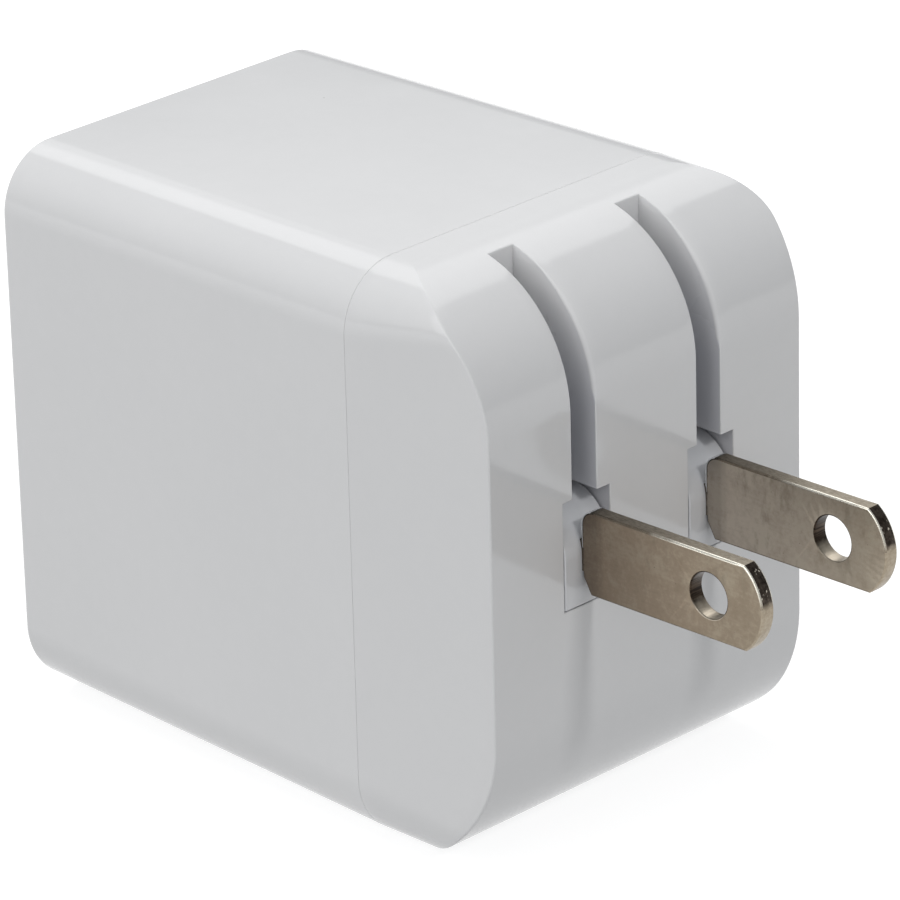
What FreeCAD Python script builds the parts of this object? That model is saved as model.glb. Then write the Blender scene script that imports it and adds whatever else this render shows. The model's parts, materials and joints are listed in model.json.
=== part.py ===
import FreeCAD, Part
import math
import os

# Folding-prong wall power adapter with one USB-C outlet.
# Millimetres. +X is the direction the prongs point, +Z is up, the origin is the
# bottom centre of the box round the whole adapter with its prongs folded out.

V = FreeCAD.Vector
doc = FreeCAD.newDocument("power_adapter")
sheet = doc.addObject("Spreadsheet::Sheet", "dims")
rows = [0]


class Q:
    """A size: the text of its formula over the sheet's cells, and its number."""

    def __init__(self, text, value):
        self.text = text
        self.value = float(value)

    def __add__(self, o):
        o = q(o)
        return Q("(%s + %s)" % (self.text, o.text), self.value + o.value)

    def __radd__(self, o):
        return q(o) + self

    def __sub__(self, o):
        o = q(o)
        return Q("(%s - %s)" % (self.text, o.text), self.value - o.value)

    def __rsub__(self, o):
        return q(o) - self

    def __mul__(self, o):
        o = q(o)
        return Q("(%s * %s)" % (self.text, o.text), self.value * o.value)

    def __rmul__(self, o):
        return q(o) * self

    def __truediv__(self, o):
        o = q(o)
        return Q("(%s / %s)" % (self.text, o.text), self.value / o.value)

    def __neg__(self):
        return Q("(0 - %s)" % self.text, -self.value)


def q(v):
    return v if isinstance(v, Q) else Q("%.6f" % float(v), v)


def dim(alias, value):
    rows[0] += 1
    sheet.set("A%d" % rows[0], alias)
    sheet.set("B%d" % rows[0], "%.5f" % value)
    sheet.setAlias("B%d" % rows[0], alias)
    return Q("dims." + alias, value)


def bind(obj, prop, size):
    if "dims." in size.text:
        obj.setExpression(prop, size.text)


# ---------------------------------------------------------------- driving sizes
depth = dim("body_depth", 48.35)          # back face to plug-in face
width = dim("body_width", 34.92)          # at the seam, where it is widest
height = dim("body_height", 44.25)
blade_reach = dim("blade_reach", 17.05)   # blade length outside the face
seam_back = dim("seam_back", 12.18)       # seam behind the plug-in face
draft_inset = dim("draft_inset", 0.587)   # mould draft of the rear shell over its length
cap_inset = dim("cap_inset", 1.63)        # side taper of the front cap over its length
r_top = dim("edge_round_top", 4.75)
r_bot = dim("edge_round_bottom", 5.54)
r_top_f = dim("edge_round_top_front", 2.95)
r_bot_f = dim("edge_round_bottom_front", 3.54)
nose_top = dim("nose_round_top", 10.15)
nose_bot = dim("nose_round_bottom", 11.30)
wall = dim("shell_wall", 2.2)
cap_wall = dim("cap_wall", 2.6)
nose_wall = dim("nose_wall", 2.0)
pair_shift = dim("blade_pair_shift", 0.0)
blade_pitch = dim("blade_pitch", 12.7)
blade_thick = dim("blade_thick", 1.2)
blade_tall = dim("blade_tall", 6.4)
blade_mid = dim("blade_mid_height", 23.52)  # at the face
blade_lean = dim("blade_lean_sine", 0.02251)  # the blades stand a little nose up
pivot_back = dim("pivot_back", 3.8)
pivot_up = dim("pivot_height", 23.2)
hub_round = dim("hub_round", 3.88)
hub_drop = dim("hub_drop", 3.8)           # square corner below the pivot
slot_wide = dim("slot_wide", 2.45)
slot_deep = dim("slot_deep", 7.75)
slot_left = dim("slot_left", 7.70)        # left wall of the first slot from mid plane
win_left = dim("window_left", 8.65)
win_wide = dim("window_wide", 4.71)
win_low = dim("window_low", 19.30)
win_high = dim("window_high", 27.62)
port_up = dim("port_height", 22.0)

face = (depth - blade_reach) / 2          # x of the plug-in face
seam = face - seam_back
back = face - depth
pivot_x = face - pivot_back
blade_y = [pair_shift - blade_pitch / 2, pair_shift + blade_pitch / 2]


# ---------------------------------------------------------------- helpers
def place(obj, x, y, z, axis=None, angle=0.0):
    x, y, z = q(x), q(y), q(z)
    rot = FreeCAD.Rotation(axis, angle) if axis is not None else FreeCAD.Rotation()
    obj.Placement = FreeCAD.Placement(V(x.value, y.value, z.value), rot)
    bind(obj, "Placement.Base.x", x)
    bind(obj, "Placement.Base.y", y)
    bind(obj, "Placement.Base.z", z)
    return obj


def box(name, x0, x1, y0, y1, z0, z1):
    """A block between two corners; each corner is a number or a formula."""
    x0, x1, y0, y1, z0, z1 = [q(v) for v in (x0, x1, y0, y1, z0, z1)]
    b = doc.addObject("Part::Box", name)
    for prop, size in (("Length", x1 - x0), ("Width", y1 - y0), ("Height", z1 - z0)):
        setattr(b, prop, size.value)
        bind(b, prop, size)
    return place(b, x0, y0, z0)


def slab(name, cx, cy, z0, lx, ly, lz):
    """A block whose three sizes are cells of its own, centred on cx, cy, standing on z0."""
    a, b, c = dim(name + "_long", lx), dim(name + "_wide", ly), dim(name + "_tall", lz)
    cx, cy, z0 = q(cx), q(cy), q(z0)
    return box(name, cx - a / 2, cx + a / 2, cy - b / 2, cy + b / 2, z0, z0 + c)


def rod(name, axis, x, y, z, radius, length):
    """A cylinder that starts at x, y, z and runs along +X, +Y or +Z."""
    c = doc.addObject("Part::Cylinder", name)
    radius, length = q(radius), q(length)
    c.Radius, c.Height = radius.value, length.value
    bind(c, "Radius", radius)
    bind(c, "Height", length)
    if axis == "X":
        return place(c, x, y, z, V(0, 1, 0), 90)
    if axis == "Y":
        return place(c, x, y, z, V(1, 0, 0), -90)
    return place(c, x, y, z)


def cut(name, base, tool):
    o = doc.addObject("Part::Cut", name)
    o.Base, o.Tool = base, tool
    return o


def fuse(name, *items):
    if len(items) == 2:
        o = doc.addObject("Part::Fuse", name)
        o.Base, o.Tool = items
    else:
        o = doc.addObject("Part::MultiFuse", name)
        o.Shapes = list(items)
    return o


def common(name, base, tool):
    o = doc.addObject("Part::Common", name)
    o.Base, o.Tool = base, tool
    return o


def group(name, *items):
    o = doc.addObject("Part::Compound", name)
    o.Links = list(items)
    return o


def body(name):
    return doc.addObject("PartDesign::Body", name)


def plane(b, role):
    return [f for f in b.Origin.OriginFeatures if f.Role == role][0]


def sketch(b, name, role, loops, offset=0.0):
    """Closed loops on one of the body's origin planes. A loop is a list of corners
    (u, v, radius): radius 0 or None gives a straight side to the next corner, a
    radius gives an arc that turns anticlockwise (positive) or clockwise (negative)."""
    offset = q(offset)
    s = b.newObject("Sketcher::SketchObject", name)
    s.AttachmentSupport = (plane(b, role), [""])
    s.MapMode = "FlatFace"
    s.AttachmentOffset = FreeCAD.Placement(V(0, 0, offset.value), FreeCAD.Rotation())
    bind(s, "AttachmentOffset.Base.z", offset)
    geo = -1
    for loop in loops:
        if len(loop) == 1:                 # a full circle: (u, v, radius)
            u, v, r = [q(k) for k in loop[0]]
            geo = s.addGeometry(Part.Circle(V(u.value, v.value, 0), V(0, 0, 1), r.value), False)
            c = s.addConstraint(_con("Radius", geo, r.value))
            bind(s, "Constraints[%d]" % c, r)
            _fix(s, geo, 3, u, v)
            continue
        pts = [(q(u), q(v), (q(r) if r else None)) for u, v, r in loop]
        ids = []
        for i, (u, v, r) in enumerate(pts):
            u2, v2, _ = pts[(i + 1) % len(pts)]
            a, e = V(u.value, v.value, 0), V(u2.value, v2.value, 0)
            if r is None:
                g = s.addGeometry(Part.LineSegment(a, e), False)
                ids.append((g, 1, 2))
            else:
                rad = abs(r.value)
                mid = (a + e) * 0.5
                half = (e - a).Length / 2
                d = (e - a).normalize()
                left = V(-d.y, d.x, 0)
                k = max(rad * rad - half * half, 0.0) ** 0.5
                cen = mid + left * k if r.value > 0 else mid - left * k
                circle = Part.Circle(cen, V(0, 0, 1), rad)
                pa, pe = circle.parameter(a), circle.parameter(e)
                if r.value > 0:
                    g = s.addGeometry(Part.ArcOfCircle(circle, pa, pe), False)
                    ids.append((g, 1, 2))
                else:
                    g = s.addGeometry(Part.ArcOfCircle(circle, pe, pa), False)
                    ids.append((g, 2, 1))
        for i, (u, v, r) in enumerate(pts):
            g, st, en = ids[i]
            g2, st2, en2 = ids[(i + 1) % len(pts)]
            s.addConstraint(_con("Coincident", g, en, g2, st2))
            _fix(s, g, st, u, v)
            if r is not None:
                rr = r if r.value > 0 else -r
                c = s.addConstraint(_con("Radius", g, rr.value))
                bind(s, "Constraints[%d]" % c, rr)
    return s


def _con(*a):
    import Sketcher
    return Sketcher.Constraint(*a)


def _fix(s, g, pos, u, v):
    for kind, size, axis in (("DistanceX", u, -2), ("DistanceY", v, -1)):
        if abs(size.value) < 1e-9:
            s.addConstraint(_con("PointOnObject", g, pos, axis))
        elif size.value > 0:
            c = s.addConstraint(_con(kind, -1, 1, g, pos, size.value))
            bind(s, "Constraints[%d]" % c, size)
        else:
            c = s.addConstraint(_con(kind, g, pos, -1, 1, -size.value))
            bind(s, "Constraints[%d]" % c, -size)


def outline(half, z0, z1, rt, rb):
    """Rounded rectangle seen along X: half width, bottom, top, top and bottom radii."""
    half, z0, z1, rt, rb = [q(k) for k in (half, z0, z1, rt, rb)]
    return [(half, z0 + rb, None), (half, z1 - rt, rt), (half - rt, z1, None), (rt - half, z1, rt),
            (-half, z1 - rt, None), (-half, z0 + rb, rb), (rb - half, z0, None), (half - rb, z0, rb)]


def loft(b, name, kind, first, second):
    l = b.newObject("PartDesign::" + kind, name)
    l.Profile = first
    l.Sections = [second]
    l.Ruled = True
    return l


def pad(b, name, sk, length, mid=False, back=False):
    p = b.newObject("PartDesign::Pad", name)
    p.Profile = sk
    length = q(length)
    p.Length = length.value
    bind(p, "Length", length)
    if mid:
        p.Midplane = True
    p.Reversed = back
    return p


def pocket(b, name, sk, length, mid=False, back=False):
    p = b.newObject("PartDesign::Pocket", name)
    p.Profile = sk
    length = q(length)
    p.Length = length.value
    bind(p, "Length", length)
    if mid:
        p.Midplane = True
    p.Reversed = back
    return p


nodes = []


def node(obj, label):
    obj.Label = label
    nodes.append((label, obj))
    return obj


# ---------------------------------------------------------------- rear shell
rear = body("rear_body")
loft(rear, "rear_outer", "AdditiveLoft",
     sketch(rear, "rear_seam_outline", "YZ_Plane", [outline(width / 2, 0, height, r_top, r_bot)], seam),
     sketch(rear, "rear_back_outline", "YZ_Plane",
            [outline(width / 2 - draft_inset, draft_inset, height - draft_inset, r_top, r_bot)], back))
doc.recompute()
loft(rear, "rear_cavity", "SubtractiveLoft",
     sketch(rear, "rear_seam_inner", "YZ_Plane",
            [outline(width / 2 - wall, wall, height - wall, r_top - wall, r_bot - wall)], seam),
     sketch(rear, "rear_back_inner", "YZ_Plane",
            [outline(width / 2 - wall - draft_inset, wall + draft_inset, height - wall - draft_inset,
                     r_top - wall, r_bot - wall)], back + wall))
doc.recompute()
# opening for the outlet in the back wall, a long hole with round ends
port_w = dim("port_hole_wide", 9.3)
port_h = dim("port_hole_tall", 3.6)
pocket(rear, "outlet_opening",
       sketch(rear, "outlet_outline", "YZ_Plane",
              [outline(port_w / 2, port_up - port_h / 2, port_up + port_h / 2, port_h * 0.48, port_h * 0.48)],
              back + wall + 0.5), wall + 1.0)
doc.recompute()
# two rails low on each side wall that carry the main board
rail_deep = dim("rail_deep", 1.6)
pad(rear, "board_rails",
    sketch(rear, "rail_outline", "YZ_Plane",
           [[(13.25, 4.1, None), (width / 2 - 1.4, 4.1, None), (width / 2 - 1.4, 5.2, None), (13.25, 5.2, None)],
            [(-13.25, 4.1, None), (-13.25, 5.2, None), (1.4 - width / 2, 5.2, None), (1.4 - width / 2, 4.1, None)]],
           back + wall - 0.5), rail_deep)
node(rear, "rear_housing")

# ---------------------------------------------------------------- front cap
cap_outer = body("cap_outer")
loft(cap_outer, "cap_loft", "AdditiveLoft",
     sketch(cap_outer, "cap_seam_outline", "YZ_Plane", [outline(width / 2, 0, height, r_top, r_bot)], seam),
     sketch(cap_outer, "cap_face_outline", "YZ_Plane",
            [outline(width / 2 - cap_inset, 0, height, r_top_f, r_bot_f)], face))
doc.recompute()


def nose(b, name, rt, rb, x1, z0, z1, reach):
    """The two corner pieces that are cut away to leave the round top and bottom of the nose."""
    over = 3.0
    return pocket(b, name, sketch(b, name + "_outline", "XZ_Plane", [
        [(x1 - rt, z1 + over, None), (x1 - rt, z1, -rt), (x1, z1 - rt, None), (x1 + over, z1 - rt, None),
         (x1 + over, z1 + over, None)],
        [(x1 - rb, z0, None), (x1 - rb, z0 - over, None), (x1 + over, z0 - over, None), (x1 + over, z0 + rb, None),
         (x1, z0 + rb, -rb)]]), reach, mid=True)


nose(cap_outer, "nose_cut", nose_top, nose_bot, face, q(0), height, width + 4)
cap_core = body("cap_core")
core_half = width / 2 - cap_wall
loft(cap_core, "core_loft", "AdditiveLoft",
     sketch(cap_core, "core_seam_outline", "YZ_Plane",
            [outline(core_half, cap_wall, height - cap_wall, r_top - cap_wall, r_bot - cap_wall)], seam - 0.2),
     sketch(cap_core, "core_face_outline", "YZ_Plane",
            [outline(core_half - cap_inset * 0.85, cap_wall, height - cap_wall, 0.6, 0.9)], face - nose_wall))
doc.recompute()
nose(cap_core, "core_nose_cut", nose_top - nose_wall, nose_bot - nose_wall, face - nose_wall,
     nose_wall, height - nose_wall, width + 4)
cap_shell = cut("cap_shell", cap_outer, cap_core)

# lip that locates the cap inside the rear shell
lip_long = dim("lip_long", 2.0)
lip = body("cap_lip")
pad(lip, "lip_pad", sketch(lip, "lip_outline", "YZ_Plane", [
    outline(width / 2 - 2.32, 2.32, height - 2.32, r_top - 2.32, r_bot - 2.32),
    outline(width / 2 - 3.3, 3.3, height - 3.3, r_top - 3.3, r_bot - 3.3)], seam - lip_long), lip_long + 1.0)

# blocks that carry the two prong slots, and the slots and windows cut in them
chan_wall = dim("channel_wall", 1.0)
blocks, slots, windows = [], [], []
for i, tag in enumerate(("line", "neutral")):
    y0 = -slot_left + blade_pitch * i
    w0 = -win_left + blade_pitch * i
    blocks.append(common("channel_in_cap_" + tag,
                         box("channel_block_" + tag, face - slot_deep - chan_wall, face + 1, w0 - 0.3, w0 + win_wide + 0.3,
                             win_high, height + 1), cap_outer))
    blocks.append(box("channel_curtain_" + tag, face - slot_deep - chan_wall, face - slot_deep - 0.1, w0 - 0.3,
                      w0 + win_wide + 0.3, 24.9, win_high + 0.5))
    blocks.append(box("window_cheek_" + tag, face - slot_deep, face - nose_wall + 0.2, w0 + win_wide,
                      w0 + win_wide + 0.45, 25.05, win_high + 0.1))
    slots.append(box("slot_" + tag, face - slot_deep, face + 2, y0, y0 + slot_wide, win_high - 1, height + 2))
    windows.append(box("window_" + tag, face - 3.0, face + 2, w0, w0 + win_wide, win_low, win_high))

# bearing ribs for the prong rotor and bosses for the retainer screws
journal_r = dim("journal_radius", 1.65)
boss_y = dim("boss_side", 12.0)
boss_z = dim("boss_height", 15.2)
boss_x = dim("boss_long", 4.6)
ribs, pilots = [], []
for i, sgn in enumerate((-1, 1)):
    ribs.append(box("bearing_rib_%d" % i, pivot_x, face - nose_wall + 0.2, sgn * 10.2 - 0.8, sgn * 10.2 + 0.8, 20.4, 26.0))
    ribs.append(rod("screw_boss_%d" % i, "X", face - nose_wall - boss_x, boss_y * sgn, boss_z, 2.0, boss_x + 0.3))
    pilots.append(rod("screw_pilot_%d" % i, "X", face - nose_wall - boss_x - 1, boss_y * sgn, boss_z, 0.78, boss_x + 0.6))
journal_bore = rod("journal_bore", "Y", pivot_x, -11.6, pivot_up, journal_r + 0.1, 23.2)
cap_solid = fuse("cap_solid", cap_shell, lip, *(blocks + ribs))
cap_cuts = fuse("cap_cuts", journal_bore, *(slots + windows + pilots))
node(cut("front_cap_shape", cap_solid, cap_cuts), "front_cap")

# ---------------------------------------------------------------- prong rotor
tip_round = dim("tip_round", 3.95)
tip_start = dim("tip_start", 15.419)
hole_r = dim("blade_hole_radius", 1.7)
hole_x = dim("blade_hole_reach", 12.1)
tail = dim("blade_tail", 5.3)
lean_c, lean_s = math.sqrt(1 - blade_lean.value ** 2), blade_lean


def along(a, up, arc=None):
    """Point of the leaning blade: a out from the face, up from its centre line."""
    return (face + a * lean_c - up * lean_s, blade_mid + a * lean_s + up * lean_c, arc)


blades = []
for i, tag in enumerate(("line", "neutral")):
    b = body("blade_body_" + tag)
    half = blade_tall / 2
    tail_x = pivot_x - tail
    low_root, top_root = along(0.27, -half + 1.24), along(0.27, half - 1.15)
    s = sketch(b, "blade_outline_" + tag, "XZ_Plane", [[
        (tail_x, pivot_up - 1.2, None),
        (low_root[0], pivot_up - 1.2, None),
        low_root,
        along(0.83, -half),
        along(tip_start, -half, tip_round),
        along(tip_start, half),
        along(1.42, half, 1.15),
        top_root,
        (top_root[0], pivot_up + 1.2, None),
        (tail_x, pivot_up + 1.2, None)],
        [along(hole_x, 0.02)[:2] + (hole_r,)]])
    pad(b, "blade_pad_" + tag, s, blade_thick, mid=True)
    place(b, 0, blade_y[i], 0)
    doc.recompute()
    node(b, "blade_" + tag)
    blades.append(b)

# rotor moulding: two square-cornered hubs, a cross bar and two journals on one axis
lobes = []
hub_wide = dim("hub_wide", 4.5)
for i, tag in enumerate(("line", "neutral")):
    y0 = -win_left + 0.08 + blade_pitch * i
    lobes.append(rod("hub_round_" + tag, "Y", pivot_x, y0, pivot_up, hub_round, hub_wide))
    lobes.append(box("hub_corner_" + tag, pivot_x, pivot_x + hub_round, y0, y0 + hub_wide, pivot_up - hub_drop, pivot_up))
    lobes.append(box("hub_neck_" + tag, pivot_x + 2.9, face + 0.2, blade_y[i] - blade_thick / 2 - 0.03,
                     blade_y[i] + blade_thick / 2 + 0.03, 21.6, 24.6))
bar = rod("cross_bar", "Y", pivot_x, -11.3, pivot_up, journal_r, 22.6)
flat_rear = box("detent_flat_rear", pivot_x - 3, pivot_x - journal_r + 0.2, -1.6, 1.6, pivot_up - 3, pivot_up + 3)
flat_top = box("detent_flat_top", pivot_x - 3, pivot_x + 3, -1.6, 1.6, pivot_up + journal_r - 0.2, pivot_up + 3)
hub_solid = fuse("hub_solid", bar, *lobes)
hub_flats = cut("hub_flatted", hub_solid, fuse("detent_flats", flat_rear, flat_top))
node(cut("hub_slotted", hub_flats, group("blade_pair", *blades)), "prong_hub")

# ---------------------------------------------------------------- retainer and contacts
plate_x = face - 11.2
plate = box("retainer_plate", plate_x, plate_x + 1.2, -13.7, 13.7, 14.2, 26.9)
arms, holes = [], []
for i, sgn in enumerate((-1, 1)):
    arms.append(box("retainer_arm_%d" % i, plate_x + 1.0, pivot_x - 0.1, sgn * 10.2 - 0.8, sgn * 10.2 + 0.8, 20.6, 25.8))
    arms.append(rod("retainer_post_%d" % i, "X", plate_x, boss_y * sgn, boss_z, 2.0, (face - nose_wall - boss_x) - plate_x))
    holes.append(rod("retainer_hole_%d" % i, "X", plate_x - 1, boss_y * sgn, boss_z, 1.1, 8))
    holes.append(rod("retainer_sink_%d" % i, "X", plate_x - 1, boss_y * sgn, boss_z, 1.95, 1.7))
arm_bore = rod("retainer_bore", "Y", pivot_x, -11.6, pivot_up, journal_r + 0.1, 23.2)
node(cut("retainer_shape", fuse("retainer_solid", plate, *arms), fuse("retainer_cuts", arm_bore, *holes)), "prong_retainer")

screws = []
for i, sgn in enumerate((-1, 1)):
    shank = rod("screw_shank_%d" % i, "X", plate_x + 0.7, boss_y * sgn, boss_z, 0.77, 7.4)
    head = rod("screw_head_%d" % i, "X", plate_x - 0.5, boss_y * sgn, boss_z, 1.8, 1.2)
    cross = fuse("screw_recess_%d" % i,
                 box("screw_recess_a_%d" % i, plate_x - 0.6, plate_x + 0.2, boss_y * sgn - 0.9, boss_y * sgn + 0.9, boss_z - 0.18, boss_z + 0.18),
                 box("screw_recess_b_%d" % i, plate_x - 0.6, plate_x + 0.2, boss_y * sgn - 0.18, boss_y * sgn + 0.18, boss_z - 0.9, boss_z + 0.9))
    screws.append(cut("screw_%d" % i, fuse("screw_blank_%d" % i, shank, head), cross))
node(group("screw_pair", *screws), "retainer_screws")

leaf = dim("contact_leaf", 0.3)
emi_x = face - 13.6                       # rear side of the input filter board
for i, tag in enumerate(("line", "neutral")):
    b = body("contact_body_" + tag)
    lx = plate_x + 1.2
    s = sketch(b, "contact_outline_" + tag, "XZ_Plane", [[
        (emi_x + 1.0, 13.5, None), (lx + leaf, 13.5, None), (lx + leaf, pivot_up - 0.6, None),
        (pivot_x - 5.48, pivot_up, None), (lx + leaf, pivot_up + 0.6, None), (lx + leaf, 25.2, None),
        (lx, 25.2, None), (lx, 13.8, None), (emi_x + 1.0, 13.8, None)]])
    pad(b, "contact_pad_" + tag, s, 3.0, mid=True)
    place(b, 0, blade_y[i], 0)
    node(b, "contact_" + tag)

# flat spring that clicks on the rotor's two flats
b = body("detent_body")
lx = plate_x + 1.2
s = sketch(b, "detent_outline", "XZ_Plane", [[
    (lx, 16.0, None), (lx + 0.25, 16.0, None), (lx + 0.25, 17.4, None), (pivot_x - 1.73, 21.9, None),
    (pivot_x - 1.48, 22.6, None), (pivot_x - 1.48, 23.9, None), (pivot_x - 1.9, 24.8, None), (pivot_x - 2.15, 24.7, None),
    (pivot_x - 1.73, 23.8, None), (pivot_x - 1.73, 22.7, None), (pivot_x - 2.0, 22.0, None), (lx, 17.5, None)]])
pad(b, "detent_pad", s, 2.4, mid=True)
node(b, "detent_spring")

# ---------------------------------------------------------------- boards
board = dim("board_thick", 1.6)
main_z = q(5.2)
main_x0, main_x1 = back + 3.9, emi_x - 0.05
node(box("main_board_block", main_x0, main_x1, -13.1, 13.1, main_z, main_z + board), "main_pcb")
top = main_z + board
node(box("emi_board_block", emi_x, emi_x + 1.0, -13.0, 13.0, 5.2, 39.6), "emi_board")
usb_x = back + 6.75                       # rear side of the outlet board
node(box("usb_board_block", usb_x, usb_x + 1.2, -12.5, 12.5, top, 37.0), "usb_board")

# outlet receptacle: drawn shell, tongue and two rows of contacts
shell_b = body("outlet_shell_body")
sw, sh = dim("outlet_wide", 8.94), dim("outlet_tall", 3.2)


def stadium(w, h, inset):
    """The outlet's long mouth with round ends, made smaller all round by inset."""
    w, h = w - 2 * inset, h - 2 * inset
    return outline(w / 2, port_up - h / 2, port_up + h / 2, h * 0.48, h * 0.48)


mouth_x = back + 0.25
pad(shell_b, "outlet_shell_pad", sketch(shell_b, "outlet_shell_outline", "YZ_Plane",
                                       [stadium(sw, sh, 0), stadium(sw, sh, 0.3)], mouth_x), usb_x - mouth_x)
node(shell_b, "usb_c_shell")
tong_b = body("outlet_tongue_body")
pad(tong_b, "outlet_base_pad", sketch(tong_b, "outlet_base_outline", "YZ_Plane", [stadium(sw, sh, 0.32)], usb_x - 1.5), 1.5)
doc.recompute()
pad(tong_b, "outlet_tongue_pad", sketch(tong_b, "outlet_tongue_outline", "YZ_Plane",
                                       [[(-3.35, port_up - 0.33, None), (3.35, port_up - 0.33, None), (3.35, port_up + 0.33, None),
                                         (-3.35, port_up + 0.33, None)]], mouth_x + 0.9), usb_x - mouth_x - 1.4)
node(tong_b, "usb_c_tongue")
pins = []
for k in range(12):
    yy = -2.75 + 0.5 * k
    for sgn in (-1, 1):
        z0 = port_up + (0.33 if sgn > 0 else -0.39)
        pins.append(box("outlet_pin_%d_%d" % (k, (sgn + 1) // 2), mouth_x + 1.6, mouth_x + 4.7, yy - 0.125, yy + 0.125, z0, z0 + 0.06))
node(group("outlet_pins", *pins), "usb_c_contacts")

# insulating film sleeve between the electronics and the rear shell
liner = body("liner_body")
film = dim("liner_film", 0.35)
half, lz0, lz1 = q(14.25), q(3.25), q(40.85)
pad(liner, "liner_pad", sketch(liner, "liner_outline", "YZ_Plane", [
    outline(half, lz0, lz1, 2.6, 3.4),
    outline(half - film, lz0 + film, lz1 - film, 2.6 - film, 3.4 - film)], back + 4.0), (seam - lip_long - 0.3) - (back + 4.0))
node(liner, "insulating_liner")

# ---------------------------------------------------------------- input filter parts, on the back of the filter board
def on_emi(name, y, z, deep, wide, tall):
    """A block on the rear side of the filter board: centre y, z, and its three sizes."""
    a, b2, c = dim(name + "_deep", deep), dim(name + "_wide", wide), dim(name + "_tall", tall)
    return box(name + "_block", emi_x - a, emi_x, q(y) - b2 / 2, q(y) + b2 / 2, q(z) - c / 2, q(z) + c / 2)


node(on_emi("x_capacitor", -6.6, 14.6, 6.0, 12.0, 11.0), "x_capacitor")
ring_r = dim("choke_ring_radius", 5.6)
ring = cut("choke_ring", rod("choke_ring_outer", "X", emi_x - 6.0, 6.4, 14.2, ring_r, 4.6),
           rod("choke_ring_inner", "X", emi_x - 7.0, 6.4, 14.2, 3.0, 6.6))
node(ring, "choke_core")
node(box("choke_base_block", emi_x - 1.0, emi_x, 0.5, 12.3, 8.3, 20.1), "choke_base")
wind = []
for i, sgn in enumerate((-1, 1)):
    half_ring = cut("choke_coil_ring_%d" % i, rod("choke_coil_outer_%d" % i, "X", emi_x - 6.6, 6.4, 14.2, 6.1, 5.6),
                    rod("choke_coil_inner_%d" % i, "X", emi_x - 7.0, 6.4, 14.2, 2.3, 6.6))
    hollow = cut("choke_coil_void_%d" % i, half_ring,
                 cut("choke_coil_core_%d" % i, rod("choke_coil_core_out_%d" % i, "X", emi_x - 6.0, 6.4, 14.2, 5.6, 4.6),
                     rod("choke_coil_core_in_%d" % i, "X", emi_x - 6.5, 6.4, 14.2, 3.0, 5.6)))
    keep = box("choke_coil_keep_%d" % i, emi_x - 8, emi_x, q(6.4) + (1.3 if sgn > 0 else -7.3), q(6.4) + (7.3 if sgn > 0 else -1.3), 9.8, 18.6)
    wind.append(common("choke_coil_%d" % i, hollow, keep))
node(group("choke_coils", *wind), "choke_windings")
node(on_emi("bridge_rectifier", -7.4, 26.2, 2.6, 9.6, 8.4), "bridge_rectifier")
node(fuse("varistor_shape", rod("varistor_disc", "X", emi_x - 4.2, 1.9, 26.4, 3.6, 3.2),
          rod("varistor_lead_a", "X", emi_x - 1.1, 0.2, 26.4, 0.3, 1.1), rod("varistor_lead_b", "X", emi_x - 1.1, 3.6, 26.4, 0.3, 1.1)), "varistor")
node(fuse("ntc_shape", rod("ntc_disc", "X", emi_x - 4.0, 9.4, 26.4, 3.2, 3.0),
          rod("ntc_lead_a", "X", emi_x - 1.1, 7.9, 26.4, 0.3, 1.1), rod("ntc_lead_b", "X", emi_x - 1.1, 10.9, 26.4, 0.3, 1.1)), "ntc_thermistor")
fuse_body = rod("fuse_tube", "Y", emi_x - 2.1, -11.6, 34.2, 2.0, 10.0)
node(fuse("fuse_shape", fuse_body, rod("fuse_lead_a", "X", emi_x - 1.2, -10.9, 34.2, 0.3, 1.2),
          rod("fuse_lead_b", "X", emi_x - 1.2, -2.3, 34.2, 0.3, 1.2)), "fuse")
drum = fuse("drum_shape", rod("drum_low", "X", emi_x - 1.0, 5.6, 34.4, 3.9, 1.0), rod("drum_mid", "X", emi_x - 5.0, 5.6, 34.4, 2.0, 5.0),
            rod("drum_high", "X", emi_x - 5.6, 5.6, 34.4, 3.9, 0.9))
node(drum, "drum_inductor_core")
node(cut("drum_coil_shape", rod("drum_coil_out", "X", emi_x - 4.7, 5.6, 34.4, 3.5, 3.7), rod("drum_coil_in", "X", emi_x - 5.2, 5.6, 34.4, 2.0, 5.0)),
     "drum_inductor_winding")

# ---------------------------------------------------------------- power stage on the main board
tx, ty = back + 18.2, q(-3.1)             # centre of the transformer
core_l, core_w, core_h = dim("core_long", 17.0), dim("core_wide", 19.0), dim("core_tall", 18.0)
core_z = top + 1.2
core = box("core_block", tx - core_l / 2, tx + core_l / 2, ty - core_w / 2, ty + core_w / 2, core_z, core_z + core_h)
win_a = box("core_window_a", tx - core_l, tx + core_l, ty - core_w / 2 + 2.6, ty - 3.4, core_z + 2.6, core_z + core_h - 2.6)
win_b = box("core_window_b", tx - core_l, tx + core_l, ty + 3.4, ty + core_w / 2 - 2.6, core_z + 2.6, core_z + core_h - 2.6)
node(cut("core_shape", core, fuse("core_windows", win_a, win_b)), "transformer_core")
bob_tube = box("bobbin_tube", tx - 9.0, tx + 9.0, ty - 4.2, ty + 4.2, core_z + 3.6, core_z + core_h - 3.6)
bob_low = box("bobbin_flange_low", tx - 9.7, tx + 9.7, ty - 6.8, ty + 6.8, core_z + 2.65, core_z + 3.6)
bob_high = box("bobbin_flange_high", tx - 9.7, tx + 9.7, ty - 6.8, ty + 6.8, core_z + core_h - 3.6, core_z + core_h - 2.65)
feet = []
for k, (dx, dy) in enumerate(((-9.15, -5), (-9.15, 0), (-9.15, 5), (9.15, -5), (9.15, 0), (9.15, 5))):
    feet.append(box("bobbin_leg_%d" % k, tx + dx - 0.5, tx + dx + 0.5, ty + dy - 0.5, ty + dy + 0.5, top, core_z + 3.0))
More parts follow.
